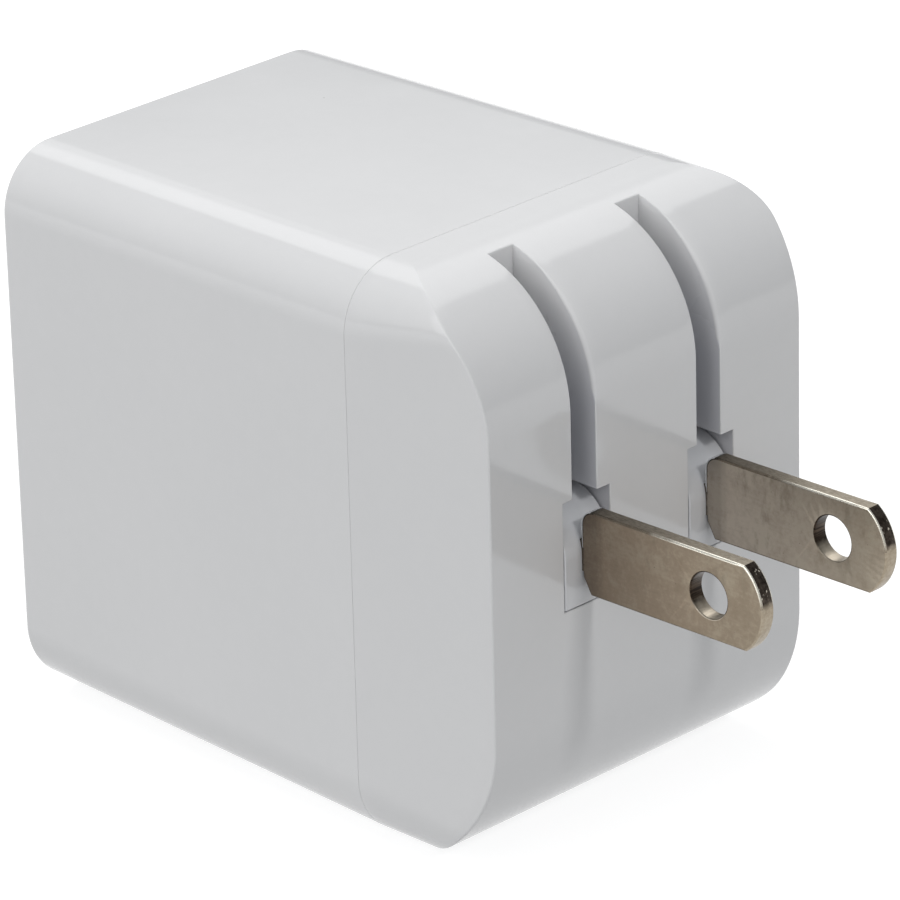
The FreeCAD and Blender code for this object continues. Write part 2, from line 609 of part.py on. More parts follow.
core_post = box("bobbin_core_space", tx - core_l / 2, tx + core_l / 2, ty - 3.4, ty + 3.4, core_z, core_z + core_h)
node(cut("bobbin_shape", fuse("bobbin_solid", bob_tube, bob_low, bob_high, *feet), core_post), "transformer_bobbin")
w_out = box("winding_outer", tx - 9.5, tx + 9.5, ty - 6.5, ty + 6.5, core_z + 3.65, core_z + core_h - 3.65)
w_in = box("winding_inner", tx - 9.0, tx + 9.0, ty - 4.2, ty + 4.2, core_z + 3, core_z + core_h - 3)
node(cut("winding_shape", w_out, w_in), "transformer_winding")
tape_z0, tape_z1 = core_z + core_h / 2 - 3.5, core_z + core_h / 2 + 3.5
t_out = box("tape_outer", tx - core_l / 2 - 1.22, tx + core_l / 2 + 1.22, ty - core_w / 2 - 0.12, ty + core_w / 2 + 0.12, tape_z0, tape_z1)
t_in = box("tape_inner", tx - core_l / 2 - 1.1, tx + core_l / 2 + 1.1, ty - core_w / 2, ty + core_w / 2, tape_z0 - 1, tape_z1 + 1)
node(cut("tape_shape", t_out, t_in), "transformer_tape")

bulk_r, bulk_l = dim("bulk_radius", 5.0), dim("bulk_long", 19.0)
for tag, yy in (("left", -6.3), ("right", 4.2)):
    can = rod("bulk_can_" + tag, "X", usb_x + 2.4, yy, 34.4, bulk_r, bulk_l)
    groove = cut("bulk_groove_" + tag, rod("bulk_groove_out_" + tag, "X", usb_x + 2.4 + bulk_l - 2.6, yy, 34.4, bulk_r + 1, 0.8),
                 rod("bulk_groove_in_" + tag, "X", usb_x + 2.4 + bulk_l - 3.6, yy, 34.4, bulk_r - 0.4, 2.8))
    node(cut("bulk_shape_" + tag, can, groove), "bulk_capacitor_" + tag)

node(group("output_cans", rod("output_can_0", "Z", usb_x + 4.6, 10.1, top, 3.1, 12.0), rod("output_can_1", "Z", usb_x + 10.9, 10.1, top, 3.1, 12.0)),
     "output_capacitors")
node(slab("optocoupler", usb_x + 17.6, 10.0, top, 4.6, 4.4, 3.4), "optocoupler")
y_disc = rod("y_cap_disc", "Y", usb_x + 17.6, 8.2, 17.2, 3.5, 3.6)
node(fuse("y_cap_shape", y_disc, rod("y_cap_lead_a", "Z", usb_x + 14.9, 10.0, top, 0.3, 9.0), rod("y_cap_lead_b", "Z", usb_x + 20.3, 10.0, top, 0.3, 9.0)),
     "y_capacitor")

# flat parts soldered under the main board and on the outlet board
def under(name, x, y, lx, ly, lz):
    a, b2, c = dim(name + "_long", lx), dim(name + "_wide", ly), dim(name + "_thick", lz)
    x = q(x)
    return node(box(name + "_chip", x - a / 2, x + a / 2, q(y) - b2 / 2, q(y) + b2 / 2, main_z - c, main_z), name)


under("primary_switch", back + 24, -4.5, 8.0, 8.0, 0.9)
under("pwm_controller", back + 24, 6.0, 5.0, 4.0, 1.2)
under("sync_rectifier", back + 12, 4.0, 5.0, 6.0, 1.0)
node(box("pd_chip", usb_x + 1.2, usb_x + 2.1, 5.0, 10.0, 25.4, 30.4), "pd_controller")

# heat spreader plate along one side, with a soft pad to the transformer
node(box("spreader_plate", usb_x + 2.2, emi_x - 6.9, -13.75, -13.15, top + 0.2, 38.6), "heat_spreader")
node(box("thermal_pad_block", tx - 8.4, tx + 8.4, -13.15, ty - core_w / 2 - 0.12, core_z + 1.0, core_z + core_h - 1.0), "thermal_pad")

# ---------------------------------------------------------------- check and write
doc.recompute()
bad = [o.Name for o in doc.Objects if "Invalid" in o.State or "Error" in o.State]
if bad:
    raise RuntimeError("failed objects: " + ", ".join(bad))
for label, obj in nodes:
    if obj.Shape.isNull() or not obj.Shape.isValid() or obj.Shape.Volume < 0.01:
        raise RuntimeError("bad shape: " + label)
os.makedirs("parts", exist_ok=True)
for old in os.listdir("parts"):
    if old.endswith(".step"):
        os.remove(os.path.join("parts", old))
for label, obj in nodes:
    obj.Shape.exportStep(os.path.join("parts", label + ".step"))
    print("%-24s %10.2f mm3  %d solid(s)" % (label, obj.Shape.Volume, len(obj.Shape.Solids)))
print(len(nodes), "nodes")
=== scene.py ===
"""Folding-prong power adapter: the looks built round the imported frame.
Shapes are worked out in millimetres in the frame's axes and turned into metres at the end."""

import json
import math
import random

import bmesh
import bpy
from mathutils import Matrix, Vector


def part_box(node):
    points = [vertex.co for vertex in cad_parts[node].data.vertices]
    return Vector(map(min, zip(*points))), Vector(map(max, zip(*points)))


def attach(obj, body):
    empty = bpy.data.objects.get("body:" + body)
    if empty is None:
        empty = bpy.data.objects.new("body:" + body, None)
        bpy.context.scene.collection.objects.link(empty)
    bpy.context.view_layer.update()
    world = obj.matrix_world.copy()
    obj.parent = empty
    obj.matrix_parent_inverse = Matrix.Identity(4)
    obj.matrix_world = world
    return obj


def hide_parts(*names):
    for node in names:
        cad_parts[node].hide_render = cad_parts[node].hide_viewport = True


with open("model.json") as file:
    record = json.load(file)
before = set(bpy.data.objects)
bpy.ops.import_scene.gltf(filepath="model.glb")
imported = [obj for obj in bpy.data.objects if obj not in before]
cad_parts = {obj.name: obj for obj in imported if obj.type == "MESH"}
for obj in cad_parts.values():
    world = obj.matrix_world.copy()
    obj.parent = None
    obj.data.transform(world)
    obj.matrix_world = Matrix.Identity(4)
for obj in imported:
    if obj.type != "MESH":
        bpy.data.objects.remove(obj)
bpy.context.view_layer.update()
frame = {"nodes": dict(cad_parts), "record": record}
MM = 0.001
scene = bpy.context.scene
nodes = frame["nodes"]


def mm_box(name):
    lo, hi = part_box(name)
    return [v * 1000 for v in lo], [v * 1000 for v in hi]


# ------------------------------------------------------------------ sizes
rear_lo, rear_hi = mm_box("rear_housing")
cap_lo, cap_hi = mm_box("front_cap")
BACK, SEAM, HALF, HIGH = rear_lo[0], rear_hi[0], rear_hi[1], rear_hi[2]
FACE = cap_hi[0]
DRAFT, TAPER = 0.587, 1.63
R_TOP, R_BOT, R_TOP_F, R_BOT_F = 4.75, 5.54, 2.95, 3.54
NOSE_T, NOSE_B = 10.15, 11.30
FLOOR_X = FACE - 7.75                      # bottom of the prong slots
WIN_Z0, WIN_Z1 = 19.30, 27.62
PITCH = 12.7
SLOTS = [(-8.65 + PITCH * i, -7.70 + PITCH * i, -6.475 + PITCH * i, -5.25 + PITCH * i, -3.94 + PITCH * i) for i in (0, 1)]
PIVOT_X, PIVOT_Z = FACE - 3.8, 23.2
BLADE_Y = [(mm_box("blade_line")[0][1] + mm_box("blade_line")[1][1]) / 2,
           (mm_box("blade_neutral")[0][1] + mm_box("blade_neutral")[1][1]) / 2]
BLADE_MID, LEAN_S = 23.52, 0.02251         # blade centre line at the face, and how it leans
LEAN_C = math.sqrt(1 - LEAN_S ** 2)
BLADE_T, BLADE_H, HOLE_R = 1.2, 3.2, 1.7
PORT_Z = 22.0


# ------------------------------------------------------------------ mesh helpers
def lerp(a, b, t):
    return a + (b - a) * t


def along(a, up):
    """(x, z) of a point of the leaning blade: a out from the face, up from its centre line."""
    return FACE + a * LEAN_C - up * LEAN_S, BLADE_MID + a * LEAN_S + up * LEAN_C


def smooth(t):
    t = max(0.0, min(1.0, t))
    return t * t * (3 - 2 * t)


def section(half, z0, z1, rt, rb, n=18, inset=0.0):
    """Rounded rectangle seen along X, as (y, z) points; corner arcs of n steps."""
    half, z0, z1 = half - inset, z0 + inset, z1 - inset
    rt, rb = max(rt - inset, 0.02), max(rb - inset, 0.02)
    pts = []
    for cy, cz, r, a0 in ((half - rt, z1 - rt, rt, 0), (-(half - rt), z1 - rt, rt, 90),
                          (-(half - rb), z0 + rb, rb, 180), (half - rb, z0 + rb, rb, 270)):
        for k in range(n + 1):
            a = math.radians(a0 + 90 * k / n)
            pts.append((cy + r * math.cos(a), cz + r * math.sin(a)))
    return pts


def new_bm():
    return bmesh.new()


def grid(bm, loops, wrap_u=True, wrap_v=False):
    """Faces between successive loops of points of equal count."""
    vs = [[bm.verts.new(p) for p in loop] for loop in loops]
    n = len(vs[0])
    pairs = list(zip(vs, vs[1:])) + ([(vs[-1], vs[0])] if wrap_v else [])
    for a, b in pairs:
        for k in range(n if wrap_u else n - 1):
            bm.faces.new((a[k], a[(k + 1) % n], b[(k + 1) % n], b[k]))
    return vs


def weld(bm, dist=1e-4):
    bmesh.ops.remove_doubles(bm, verts=bm.verts, dist=dist)
    bmesh.ops.dissolve_degenerate(bm, edges=bm.edges, dist=1e-5)
    bmesh.ops.recalc_face_normals(bm, faces=bm.faces)


def to_object(name, bm):
    me = bpy.data.meshes.new(name)
    bm.to_mesh(me)
    bm.free()
    ob = bpy.data.objects.new(name, me)
    scene.collection.objects.link(ob)
    return ob


def loops_object(name, loops, cap_ends=True, wrap_v=False):
    bm = new_bm()
    vs = grid(bm, loops, True, wrap_v)
    if cap_ends and not wrap_v:
        bm.faces.new(list(reversed(vs[0])))
        bm.faces.new(vs[-1])
    weld(bm)
    return to_object(name, bm)


def block(name, x0, x1, y0, y1, z0, z1):
    def ring(x):
        return [(x, y0, z0), (x, y1, z0), (x, y1, z1), (x, y0, z1)]
    return loops_object(name, [ring(x0), ring(x1)])


def rod(name, axis, p, r, length, n=48):
    """Cylinder along X or Y from point p, as loops."""
    out = []
    for d in (0.0, length):
        ring = []
        for k in range(n):
            a = 2 * math.pi * k / n
            u, v = r * math.cos(a), r * math.sin(a)
            ring.append((p[0] + d, p[1] + u, p[2] + v) if axis == "X" else (p[0] + u, p[1] + d, p[2] + v))
        out.append(ring)
    return loops_object(name, out)


def boolean(ob, tool, op):
    m = ob.modifiers.new("cut", "BOOLEAN")
    m.operation, m.solver, m.object = op, "EXACT", tool
    bpy.context.view_layer.update()
    dg = bpy.context.evaluated_depsgraph_get()
    me = bpy.data.meshes.new_from_object(ob.evaluated_get(dg))
    ob.modifiers.clear()
    old, ob.data = ob.data, me
    bpy.data.meshes.remove(old)
    td = tool.data
    bpy.data.objects.remove(tool)
    bpy.data.meshes.remove(td)
    return ob


def finish_mesh(ob, angle=38.0, weighted=True):
    """Turns the millimetre mesh into metres and gives it smooth shading with real sharp edges."""
    ob.data.transform(Matrix.Scale(MM, 4))
    ob.data.shade_smooth()
    ob.data.set_sharp_from_angle(angle=math.radians(angle))
    if weighted:
        w = ob.modifiers.new("normals", "WEIGHTED_NORMAL")
        w.mode, w.weight, w.keep_sharp = "FACE_AREA", 50, True
    return ob


def use(ob, material, body, slot, *replaced):
    for m in (material if isinstance(material, (list, tuple)) else [material]):
        ob.data.materials.append(m)
    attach(ob, body)
    if replaced:
        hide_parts(*replaced)
    return ob


# ------------------------------------------------------------------ material helpers
class Nodes:
    """A small wrapper that keeps material code short. Coordinates are in millimetres of the object."""

    def __init__(self, name):
        self.mat = bpy.data.materials.new(name)
        self.mat.use_nodes = True
        self.t = self.mat.node_tree
        self.t.nodes.clear()
        self.out = self.t.nodes.new("ShaderNodeOutputMaterial")
        self.b = self.t.nodes.new("ShaderNodeBsdfPrincipled")
        self.t.links.new(self.b.outputs[0], self.out.inputs[0])
        tc = self.t.nodes.new("ShaderNodeTexCoord")
        mp = self.t.nodes.new("ShaderNodeMapping")
        mp.inputs["Scale"].default_value = (1000, 1000, 1000)
        self.t.links.new(tc.outputs["Object"], mp.inputs["Vector"])
        self.mm = mp.outputs[0]

    def link(self, a, b):
        self.t.links.new(a, b)

    def set(self, **kw):
        for k, v in kw.items():
            self.b.inputs[k.replace("_", " ")].default_value = v

    def stretch(self, sx, sy, sz, ox=0.0, oy=0.0, oz=0.0, rot=(0, 0, 0)):
        m = self.t.nodes.new("ShaderNodeMapping")
        m.inputs["Scale"].default_value = (sx, sy, sz)
        m.inputs["Location"].default_value = (ox, oy, oz)
        m.inputs["Rotation"].default_value = rot
        self.link(self.mm, m.inputs["Vector"])
        return m.outputs[0]

    def noise(self, scale, detail=2.0, rough=0.5, vec=None, distort=0.0):
        n = self.t.nodes.new("ShaderNodeTexNoise")
        n.inputs["Scale"].default_value = scale
        n.inputs["Detail"].default_value = detail
        n.inputs["Roughness"].default_value = rough
        n.inputs["Distortion"].default_value = distort
        self.link(vec or self.mm, n.inputs["Vector"])
        return n.outputs["Fac"]

    def voronoi(self, scale, feature="F1", out="Distance", vec=None, rnd=1.0):
        n = self.t.nodes.new("ShaderNodeTexVoronoi")
        n.feature = feature
        n.inputs["Scale"].default_value = scale
        n.inputs["Randomness"].default_value = rnd
        self.link(vec or self.mm, n.inputs["Vector"])
        return n.outputs[out]

    def ramp(self, fac, stops):
        r = self.t.nodes.new("ShaderNodeValToRGB")
        e = r.color_ramp.elements
        while len(e) < len(stops):
            e.new(0.5)
        for k, (p, c) in enumerate(stops):
            e[k].position = p
            e[k].color = (c, c, c, 1) if isinstance(c, (int, float)) else (*c, 1)
        self.link(fac, r.inputs[0])
        return r.outputs[0]

    def math(self, op, a, b=0.0, c=None, clamp=False):
        m = self.t.nodes.new("ShaderNodeMath")
        m.operation, m.use_clamp = op, clamp
        for i, v in enumerate((a, b) if c is None else (a, b, c)):
            if isinstance(v, (int, float)):
                m.inputs[i].default_value = v
            else:
                self.link(v, m.inputs[i])
        return m.outputs[0]

    def remap(self, fac, a, b, lo, hi):
        m = self.t.nodes.new("ShaderNodeMapRange")
        m.inputs[1].default_value, m.inputs[2].default_value = a, b
        m.inputs[3].default_value, m.inputs[4].default_value = lo, hi
        self.link(fac, m.inputs[0])
        return m.outputs[0]

    def mix(self, fac, a, b, kind="MIX"):
        m = self.t.nodes.new("ShaderNodeMix")
        m.data_type, m.blend_type = "RGBA", kind
        for i, v in ((0, fac), (6, a), (7, b)):
            if isinstance(v, (int, float)):
                m.inputs[i].default_value = v
            elif isinstance(v, (tuple, list)):
                m.inputs[i].default_value = (*v, 1) if len(v) == 3 else v
            else:
                self.link(v, m.inputs[i])
        return m.outputs[2]

    def axis(self, k):
        s = self.t.nodes.new("ShaderNodeSeparateXYZ")
        self.link(self.mm, s.inputs[0])
        return s.outputs[k]

    def bump(self, layers):
        """layers: (height, depth in mm) from the coarsest to the finest."""
        last = None
        for h, depth in layers:
            b = self.t.nodes.new("ShaderNodeBump")
            b.inputs["Strength"].default_value = 1.0
            b.inputs["Distance"].default_value = depth * MM
            self.link(h, b.inputs["Height"])
            if last is not None:
                self.link(last, b.inputs["Normal"])
            last = b.outputs[0]
        self.link(last, self.b.inputs["Normal"])

    def color(self, c):
        self.link(c, self.b.inputs["Base Color"])

    def rough(self, r):
        self.link(r, self.b.inputs["Roughness"])


def moulded_white(name, light, dark, rough=0.26, painted_light_above=None):
    """Polished moulded polycarbonate: slow tone drift, fine mottle, rare dark specks, hairline scuffs."""
    n = Nodes(name)
    drift = n.noise(0.045, 2, 0.5)
    mottle = n.noise(0.9, 3, 0.55)
    tone = n.math("ADD", n.math("MULTIPLY", drift, 0.7), n.math("MULTIPLY", mottle, 0.3))
    base = n.mix(n.remap(tone, 0.3, 0.7, 0, 1), dark, light)
    # painted light: above this height the colour turns lighter over 8 mm
    if painted_light_above is not None:
        base = n.mix(n.remap(n.axis(2), painted_light_above, painted_light_above + 8.0, 0, 1), base, (0.74, 0.74, 0.745))
    # specks: a tiny dark inclusion in a few of the 7 mm cells
    d = n.voronoi(0.14)
    pick = n.t.nodes.new("ShaderNodeSeparateColor")
    n.link(n.voronoi(0.14, out="Color"), pick.inputs[0])
    chosen = n.math("GREATER_THAN", pick.outputs[0], 0.72)
    dot = n.math("MULTIPLY", n.remap(d, 0.007, 0.014, 0.55, 0.0), chosen)
    base = n.mix(dot, base, (0.16, 0.15, 0.14))
    # scuffs: long thin lines in two directions, only where a broad mask allows
    s1 = n.noise(1.0, 1, 0.5, n.stretch(0.05, 2.6, 2.2, rot=(0.3, 0.2, 0.5)))
    s2 = n.noise(1.0, 1, 0.5, n.stretch(2.4, 0.05, 2.0, rot=(-0.4, 0.5, 0.2)))
    thin = n.math("MAXIMUM", n.remap(s1, 0.80, 0.83, 0, 1), n.remap(s2, 0.81, 0.84, 0, 1))
    area = n.remap(n.noise(0.08, 2), 0.56, 0.66, 0, 1)
    scuff = n.math("MULTIPLY", thin, area)
    base = n.mix(n.math("MULTIPLY", scuff, 0.05), base, (0.45, 0.45, 0.45))
    n.color(base)
    smear = n.noise(0.12, 4, 0.6)
    r = n.math("ADD", n.remap(smear, 0.3, 0.7, rough - 0.035, rough + 0.04), n.math("MULTIPLY", scuff, 0.08))
    n.rough(r)
    n.set(IOR=1.53)
    n.set(**{"Subsurface_Weight": 0.0})
    n.bump([(n.noise(0.22, 2, 0.4), 0.006), (n.noise(1.6, 2, 0.5), 0.0008), (n.math("MULTIPLY", scuff, -1.0), 0.0003)])
    return n.mat


def nickel(name, root_x, root, tip):
    """Nickel-plated brass strip: faint rolling lines, mottled warm tarnish, a dark band near the root and painted shade
    where the blade meets the hub.
    """
    n = Nodes(name)
    x = n.axis(0)
    brush = n.noise(1.0, 3, 0.6, n.stretch(0.5, 5.0, 5.0))
    cloud = n.noise(0.55, 4, 0.6, None, 0.6)
    fine = n.noise(2.6, 4, 0.65)
    wander = n.math("MULTIPLY", n.math("SUBTRACT", n.noise(0.5, 2), 0.5), 1.2)
    out = n.math("ADD", x, wander)
    fade = n.remap(out, root_x + 0.5, root_x + 15.5, 0, 1)
    # the root and tip colours are painted light and shade along the blade
    metal = n.mix(fade, root, tip)
    tone = n.math("ADD", n.math("ADD", n.math("MULTIPLY", brush, 0.15), n.math("MULTIPLY", cloud, 0.50)), n.math("MULTIPLY", fine, 0.35))
    metal = n.mix(n.remap(tone, 0.38, 0.54, 0.27, 0.0), metal, (0.16, 0.115, 0.075))
    metal = n.mix(n.remap(tone, 0.50, 0.64, 0.0, 0.22), metal, (0.46, 0.43, 0.33))
    stain = n.remap(n.noise(0.9, 4, 0.7, n.stretch(1.0, 1.0, 0.45, 3.0, 5.0, 1.0)), 0.56, 0.68, 0.0, 0.40)
    metal = n.mix(stain, metal, (0.20, 0.165, 0.12))
    band = n.remap(n.math("ADD", x, n.math("MULTIPLY", n.noise(2.2, 2), 0.25)), root_x + 1.55, root_x + 1.85, 0.15, 0.0)
    metal = n.mix(band, metal, (0.06, 0.05, 0.045))
    # painted shade: near-black within half a millimetre of the face, where the blade meets the hub
    painted_root_shade = n.remap(n.math("ADD", x, n.math("MULTIPLY", n.noise(3.0, 3), 0.3)), root_x + 0.30, root_x + 0.48, 0.75, 0.0)
    metal = n.mix(painted_root_shade, metal, (0.045, 0.037, 0.030))
    # painted shade: a faint darkening out to about 2 mm from the face
    metal = n.mix(n.remap(x, root_x + 1.9, root_x + 2.2, 0.16, 0.0), metal, (0.060, 0.050, 0.040))
    pits = n.remap(n.voronoi(1.6), 0.05, 0.09, 0.5, 0.0)
    keep = n.remap(n.noise(0.6, 2), 0.50, 0.60, 0, 1)
    metal = n.mix(n.math("MULTIPLY", pits, keep), metal, (0.05, 0.04, 0.035))
    n.color(metal)
    n.set(Metallic=0.92)
    n.rough(n.remap(tone, 0.36, 0.64, 0.48, 0.38))
    n.bump([(cloud, 0.008), (brush, 0.001), (fine, 0.0012)])
    return n.mat


def nickel_edge(name, dull=((0.17, 0.14, 0.105), (0.28, 0.24, 0.185)), bright=((0.78, 0.74, 0.64), (0.95, 0.92, 0.82)), start=6.5, end=9.5, smooth=0.20):
    """The long edges: tarnished near the root; on the upper edges, from the middle of the blade to its end, bright
    metal as a painted highlight.
    """
    n = Nodes(name)
    fine = n.noise(4.0, 3, 0.6, n.stretch(0.6, 3, 3))
    x = n.math("ADD", n.axis(0), n.math("MULTIPLY", n.math("SUBTRACT", n.noise(0.7, 2), 0.5), 3.0))
    high = n.remap(n.axis(2), 24.3, 25.5, 0, 1)
    # painted highlight: bright metal only on the upper edges, fading in along the blade
    fade = n.math("MULTIPLY", n.remap(x, FACE + start, FACE + end, 0, 1), high)
    grain = n.remap(fine, 0.35, 0.65, 0, 1)
    n.color(n.mix(fade, n.mix(grain, *dull), n.mix(grain, *bright)))
    n.set(Metallic=1.0)
    n.rough(n.remap(fine, 0.3, 0.7, smooth + 0.12, smooth))
    n.bump([(fine, 0.002)])
    return n.mat


def nickel_bore(name):
    """The punched hole: brown, scored through its thickness, lighter at the bottom as painted light."""
    n = Nodes(name)
    turn = n.noise(1.0, 3, 0.7, n.stretch(5.0, 0.25, 5.0))
    deep = n.remap(turn, 0.40, 0.60, 0, 1)
    base = n.mix(deep, (0.017, 0.012, 0.009), (0.060, 0.044, 0.032))
    # painted light: the upward-facing bottom of the hole turns light
    low = n.remap(n.math("ADD", n.axis(2), n.math("MULTIPLY", n.noise(1.8, 2), 0.5)), HOLE_Z - 1.15, HOLE_Z - 0.45, 0.9, 0.0)
    base = n.mix(low, base, (0.52, 0.46, 0.37))
    n.color(base)
    n.set(Metallic=1.0)
    n.rough(n.remap(turn, 0.3, 0.7, 0.42, 0.28))
    n.bump([(turn, 0.02)])
    return n.mat


def nickel_tip(name):
    """The coined end: near-black torn metal with bright specks on its upper part, smooth and tan below."""
    n = Nodes(name)
    z = n.math("ADD", n.axis(2), n.math("MULTIPLY", n.math("SUBTRACT", n.noise(1.4, 3), 0.5), 0.7))
    torn = n.noise(3.0, 4, 0.65)
    grain = n.noise(7.5, 2, 0.6)
    ragged = n.math("MULTIPLY", n.math("SUBTRACT", n.noise(9.0, 3, 0.7), 0.5), 0.5)
    speck = n.remap(n.math("ADD", n.voronoi(3.2, vec=n.stretch(1.0, 1.0, 0.6)), ragged), 0.17, 0.28, 1.0, 0.0)
    gate = n.remap(torn, 0.45, 0.52, 0, 1)
    base = n.mix(n.remap(torn, 0.35, 0.65, 0, 1), (0.022, 0.016, 0.012), (0.085, 0.068, 0.055))
    base = n.mix(n.math("MULTIPLY", speck, gate), base, (0.72, 0.66, 0.56))
    low = n.remap(z, 24.15, 24.65, 1.0, 0.0)
    tan = n.mix(n.remap(torn, 0.35, 0.65, 0, 1), (0.27, 0.225, 0.165), (0.36, 0.31, 0.24))
    n.color(n.mix(low, base, tan))
    n.set(Metallic=1.0)
    n.rough(n.remap(grain, 0.3, 0.7, 0.46, 0.32))
    rougher = n.math("MULTIPLY", torn, n.remap(low, 0, 1, 1.0, 0.15))
    n.bump([(rougher, 0.05), (grain, 0.006)])
    return n.mat


def simple(name, a, b, metallic=0.0, rough=0.45, scale=0.8, depth=0.004, stretch=None, detail=3):
    """Two tones mixed by noise, with matching roughness and bump."""
    n = Nodes(name)
    vec = n.stretch(*stretch) if stretch else None
    f = n.noise(scale, detail, 0.55, vec)
    n.color(n.mix(n.remap(f, 0.32, 0.68, 0, 1), a, b))
    n.set(Metallic=metallic)
    n.rough(n.remap(f, 0.3, 0.7, min(1.0, rough + 0.06), max(0.05, rough - 0.06)))
    n.bump([(f, depth)])
    return n.mat


def board_green(name):
    """Solder-mask green over copper tracks: blocks of track under the mask and rows of small pads."""
    n = Nodes(name)
    cells = n.t.nodes.new("ShaderNodeSeparateColor")
    n.link(n.voronoi(0.55, out="Color", rnd=0.6), cells.inputs[0])
    tracks = n.math("GREATER_THAN", cells.outputs[0], 0.45)
    edge = n.remap(n.voronoi(0.55, feature="DISTANCE_TO_EDGE", rnd=0.6), 0.02, 0.05, 0, 1)
    lift = n.math("MULTIPLY", tracks, edge)
    base = n.mix(lift, (0.012, 0.085, 0.032), (0.02, 0.15, 0.055))
    pads = n.remap(n.voronoi(0.9, rnd=0.25), 0.10, 0.13, 1, 0)
    base = n.mix(pads, base, (0.62, 0.62, 0.60))
    n.color(base)
    n.rough(n.remap(pads, 0, 1, 0.42, 0.28))
    n.bump([(lift, 0.03), (pads, 0.03)])
    return n.mat


def wound(name, a, b, pitch, axis):
    """Round wire laid in turns: light and dark bands with a rounded bump."""
    n = Nodes(name)
    w = n.t.nodes.new("ShaderNodeTexWave")
    w.bands_direction = axis
    w.inputs["Scale"].default_value = 0.314 / pitch
    w.inputs["Distortion"].default_value = 0.3
    n.link(n.mm, w.inputs["Vector"])
    f = w.outputs["Fac"]
    n.color(n.mix(f, a, b))
    n.set(Metallic=0.85)
    n.rough(n.remap(f, 0, 1, 0.45, 0.25))
    n.bump([(f, 0.08)])
    return n.mat


white = moulded_white("white_polycarbonate", (0.70, 0.70, 0.705), (0.675, 0.677, 0.682), 0.125)
# Slot and window walls: a darker, bluer copy of the white plastic as painted shade in the deep slots, with painted
# light above z 33.5 near the slot mouths.
white_slot = moulded_white("slot_wall_painted_shade", (0.600, 0.605, 0.635), (0.575, 0.580, 0.610), 0.30, 33.5)
white_hub = moulded_white("white_nylon_hub", (0.66, 0.668, 0.685), (0.62, 0.628, 0.645), 0.17)
HOLE_X, HOLE_Z = along(12.1, 0.02)
DULL = ((0.15, 0.125, 0.095), (0.25, 0.215, 0.165))
# Edge and rim materials carry a painted highlight of bright metal on the blade's upper edges towards its end.
blade_rest = [nickel_edge("nickel_edge"), nickel_tip("nickel_sheared_tip"),
              nickel_edge("nickel_rim", DULL, ((0.24, 0.205, 0.16), (0.42, 0.37, 0.29)), 4.0, 11.0, 0.34),
              nickel_bore("nickel_bore"), nickel_edge("nickel_under_edge", DULL, DULL, smooth=0.30),
              # The last material is painted shade on the blade edges where they enter the hub.
              simple("root_edge_painted_shade", (0.035, 0.030, 0.024), (0.085, 0.074, 0.058), 0.6, 0.55, 3.0, 0.01)]
# Both blades are the same nickel plate. Their root and tip colours are painted light and shade: the line blade's end is
# a little darker, and the neutral blade is a much lighter painted-light copy, lightest at the root.
blade_mats = [nickel("nickel_plate_line", FACE, (0.280, 0.220, 0.165), (0.262, 0.215, 0.158))] + blade_rest
blade_mats_b_painted_light = [nickel("nickel_plate_neutral_painted_light", FACE, (0.530, 0.466, 0.397), (0.378, 0.325, 0.255))] + blade_rest
port_steel = simple("port_steel", (0.52, 0.52, 0.53), (0.68, 0.68, 0.69), 1.0, 0.24, 1.2, 0.002, (0.3, 6, 6))
port_black = simple("port_black", (0.012, 0.012, 0.013), (0.022, 0.022, 0.024), 0.0, 0.42, 3.0, 0.004)
gold = simple("gold_plate", (0.72, 0.47, 0.17), (0.92, 0.66, 0.30), 1.0, 0.22, 4.0, 0.001)
zinc = simple("zinc_screw", (0.36, 0.37, 0.39), (0.58, 0.59, 0.60), 1.0, 0.36, 2.2, 0.004)

